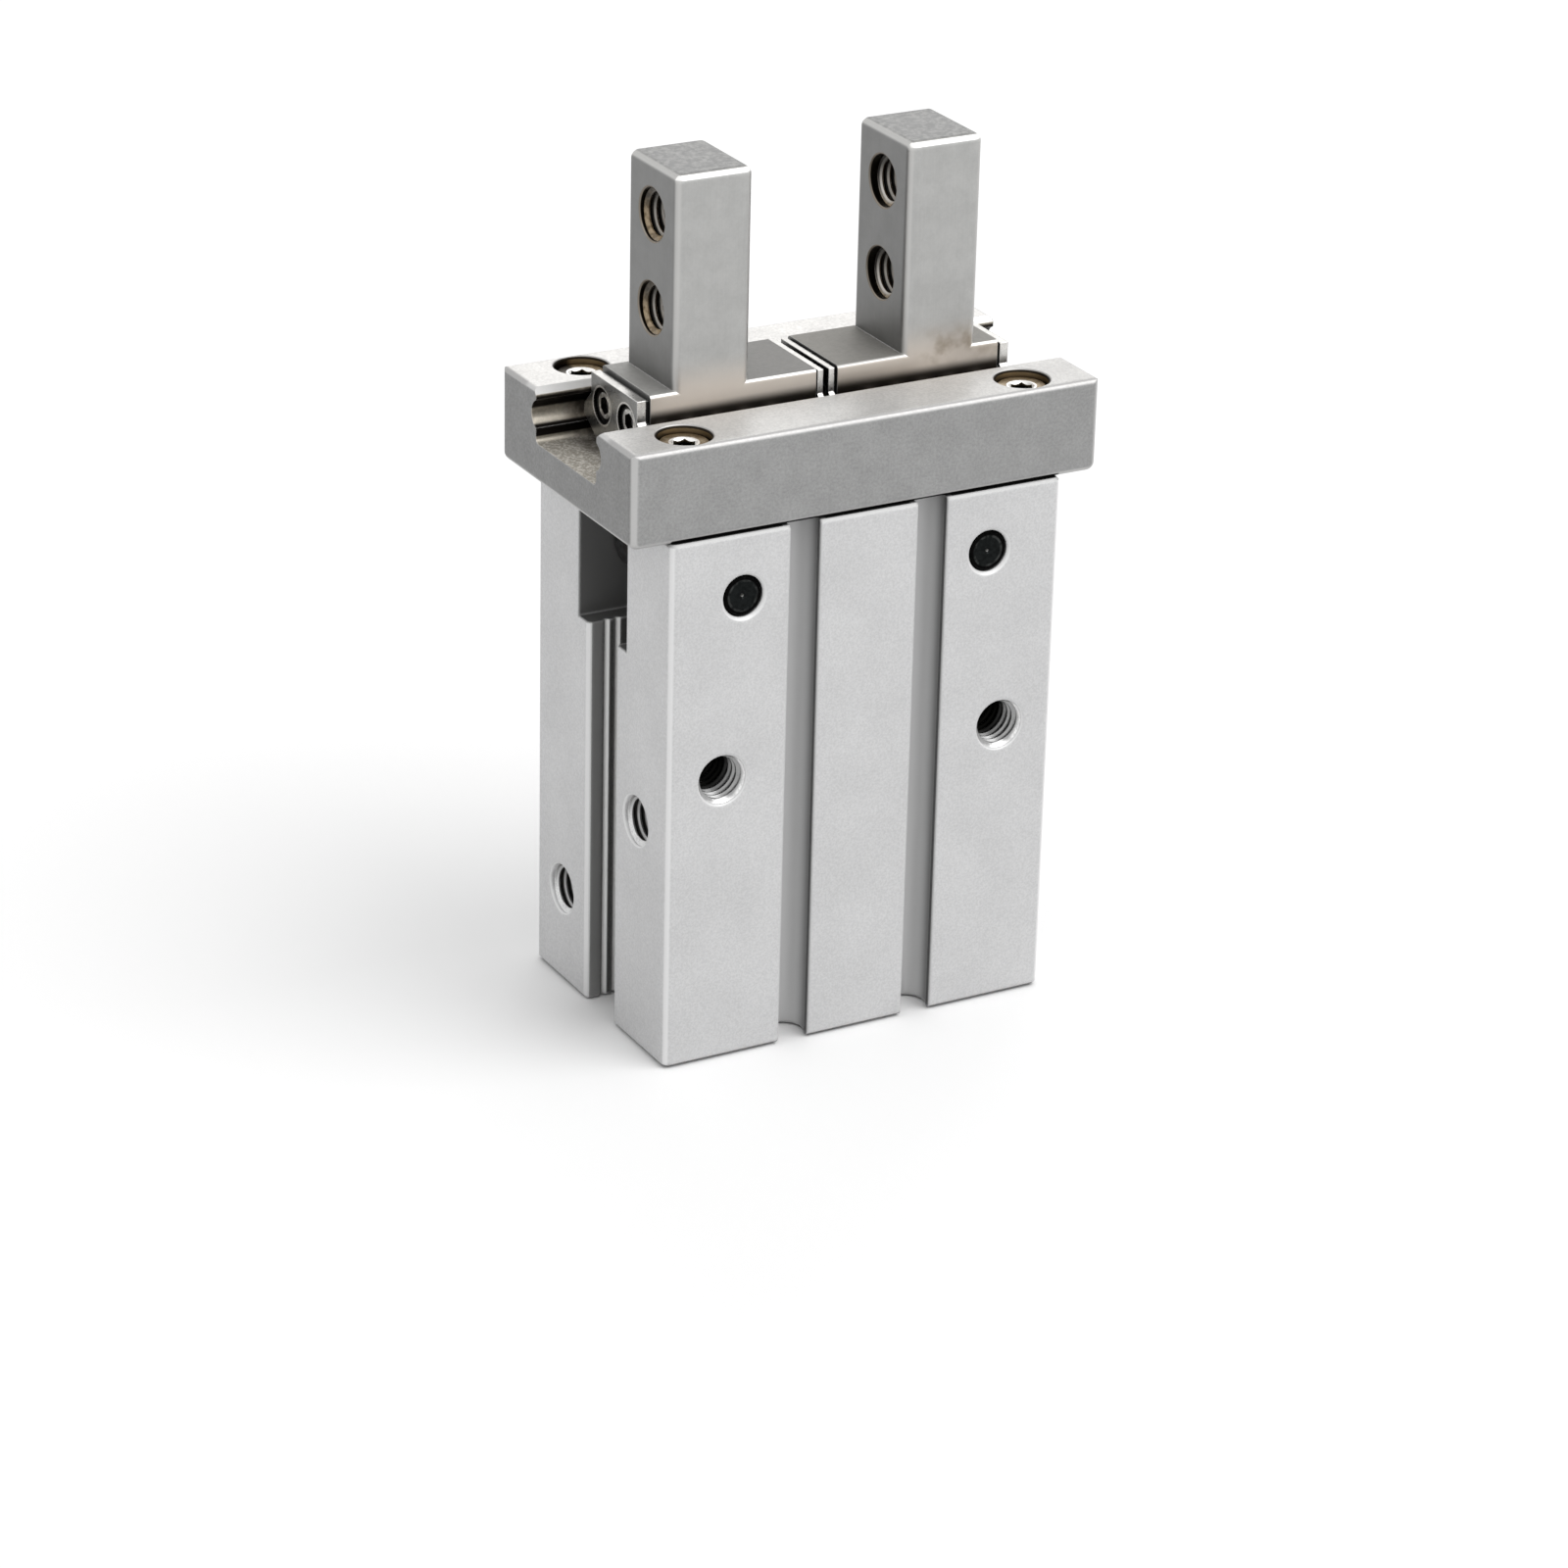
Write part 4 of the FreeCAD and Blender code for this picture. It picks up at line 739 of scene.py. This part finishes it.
def thread(name, start, inward, sizes, body, finish):
    """A hole's thread as a piece: it starts at the hole's mouth and runs inward."""
    data = bpy.data.meshes.new(name)
    mesh = ridge(*sizes)
    mesh.to_mesh(data)
    mesh.free()
    data.shade_smooth()
    data.set_sharp_from_angle(angle=SHARP_ANGLE)
    data.materials.append(finish)
    piece = bpy.data.objects.new(name, data)
    turn = inward.to_track_quat("Z", "Y").to_matrix().to_4x4()
    piece.matrix_world = Matrix.Translation(start) @ turn
    bpy.context.scene.collection.objects.link(piece)
    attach(piece, body)


THREADS = {
    # mount: pitch, length, body, slot and finish
    "bottom_threads": (0.7, 5.7, "housing", "body_aluminium", THREAD_ALUMINIUM),
    "front_threads": (0.8, 7.6, "housing", "body_aluminium", THREAD_ALUMINIUM),
    "upper_air_port": (0.8, 4.6, "housing", "body_aluminium", THREAD_BRIGHT),
    "lower_air_port": (0.8, 4.6, "housing", "body_aluminium", THREAD_BRIGHT),
    "finger_left_threads": (0.8, 7.7, "slide_left", "finger_steel", THREAD_STEEL),
    "finger_right_threads": (0.8, 7.7, "slide_right", "finger_steel", THREAD_STEEL),
}


def make_threads():
    """A thread in each hole of the tapped mounts. A port's starts at the body's end, not at its mount."""
    for mount_name, (pitch, length, body, slot, finish) in THREADS.items():
        mount = MOUNTS[mount_name]
        if mount["kind"] == "bolt_pattern":
            centres, radius = bolt_holes(mount), mount["dims"]["hole_r_mm"]
        else:
            centre = Vector(mount["pos_m"])
            centre.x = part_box("body")[0].x
            centres, radius = [centre], mount["dims"]["r_mm"]
        sizes = (2 * radius * MM, pitch * MM, length * MM)
        for number, centre in enumerate(centres, start=1):
            thread(f"{mount_name}_{number}", centre, -Vector(mount["axis"]), sizes, body, finish)


make_threads()


# Floor, light and camera

FLOOR_HALF = 1.5
FLOOR_DROP = 0.0002
FLOOR_TONE = (0.80, 0.80, 0.80, 1.0)
WHITE = (1.0, 1.0, 1.0, 1.0)
ROOM_LIGHT = 0.7


def make_floor():
    """A matt floor just under the part: pale grey to the light, and white to the camera."""
    corners = [(x * FLOOR_HALF, y * FLOOR_HALF, 0) for x, y in ((-1, -1), (1, -1), (1, 1), (-1, 1))]
    data = bpy.data.meshes.new("floor")
    data.from_pydata(corners, [], [(0, 1, 2, 3)])
    floor = bpy.data.objects.new("floor", data)
    floor.location.z = -FLOOR_DROP
    bpy.context.scene.collection.objects.link(floor)
    material = bpy.data.materials.new("floor")
    material.use_nodes = True
    tree = material.node_tree
    shader = tree.nodes["Principled BSDF"]
    rays = tree.nodes.new("ShaderNodeLightPath")
    tone = tree.nodes.new("ShaderNodeMix")
    tone.data_type = "RGBA"
    tone.inputs[6].default_value = FLOOR_TONE
    tone.inputs[7].default_value = WHITE
    tree.links.new(rays.outputs["Is Camera Ray"], tone.inputs["Factor"])
    tree.links.new(tone.outputs[2], shader.inputs["Base Color"])
    shader.inputs["Roughness"].default_value = 0.9
    shader.inputs["Specular IOR Level"].default_value = 0.0
    data.materials.append(material)


def make_world():
    """A plain studio: soft light on the part, and white to the camera and in reflections."""
    world = bpy.data.worlds.new("studio")
    bpy.context.scene.world = world
    world.use_nodes = True
    tree = world.node_tree
    background = tree.nodes["Background"]
    rays = tree.nodes.new("ShaderNodeLightPath")
    seen = tree.nodes.new("ShaderNodeMath")
    seen.operation = "MAXIMUM"
    tree.links.new(rays.outputs["Is Camera Ray"], seen.inputs[0])
    tree.links.new(rays.outputs["Is Glossy Ray"], seen.inputs[1])
    level = tree.nodes.new("ShaderNodeMapRange")
    level.inputs["To Min"].default_value = ROOM_LIGHT
    level.inputs["To Max"].default_value = 1.0
    tree.links.new(seen.outputs[0], level.inputs["Value"])
    tree.links.new(level.outputs["Result"], background.inputs["Strength"])
    background.inputs["Color"].default_value = WHITE


def sun(name, direction, strength, degrees):
    """A soft distant lamp that shines along a direction, from a disc some degrees wide."""
    lamp = bpy.data.lights.new(name, "SUN")
    lamp.energy = strength
    lamp.angle = math.radians(degrees)
    item = bpy.data.objects.new(name, lamp)
    item.rotation_euler = Vector(direction).to_track_quat("-Z", "Y").to_euler()
    bpy.context.scene.collection.objects.link(item)


CAMERA_PLACE = Vector((-0.22637, -0.40186, 0.22721))
CAMERA_VIEW = Vector((0.4466, 0.7956, -0.4094))
CAMERA_ROLL = math.radians(1.43)
PHOTO_SIDE = 1600
FOCAL_PIXELS = 5242.5
SENSOR = 36.0


def make_camera():
    """The photograph's camera, as solved from the edges and holes that it shows."""
    data = bpy.data.cameras.new("camera")
    data.sensor_width = SENSOR
    data.lens = FOCAL_PIXELS / PHOTO_SIDE * SENSOR
    data.clip_start = 0.01
    camera = bpy.data.objects.new("camera", data)
    turn = CAMERA_VIEW.to_track_quat("-Z", "Y") @ Quaternion((0, 0, 1), CAMERA_ROLL)
    camera.matrix_world = Matrix.Translation(CAMERA_PLACE) @ turn.to_matrix().to_4x4()
    bpy.context.scene.collection.objects.link(camera)
    bpy.context.scene.camera = camera


make_floor()
make_world()
sun("key", direction=(-0.4, 0.5, -0.8), strength=1.25, degrees=50)
sun("rim", direction=(-0.45, -0.75, -0.5), strength=0.35, degrees=40)
make_camera()
bpy.context.scene.view_settings.view_transform = "Standard"
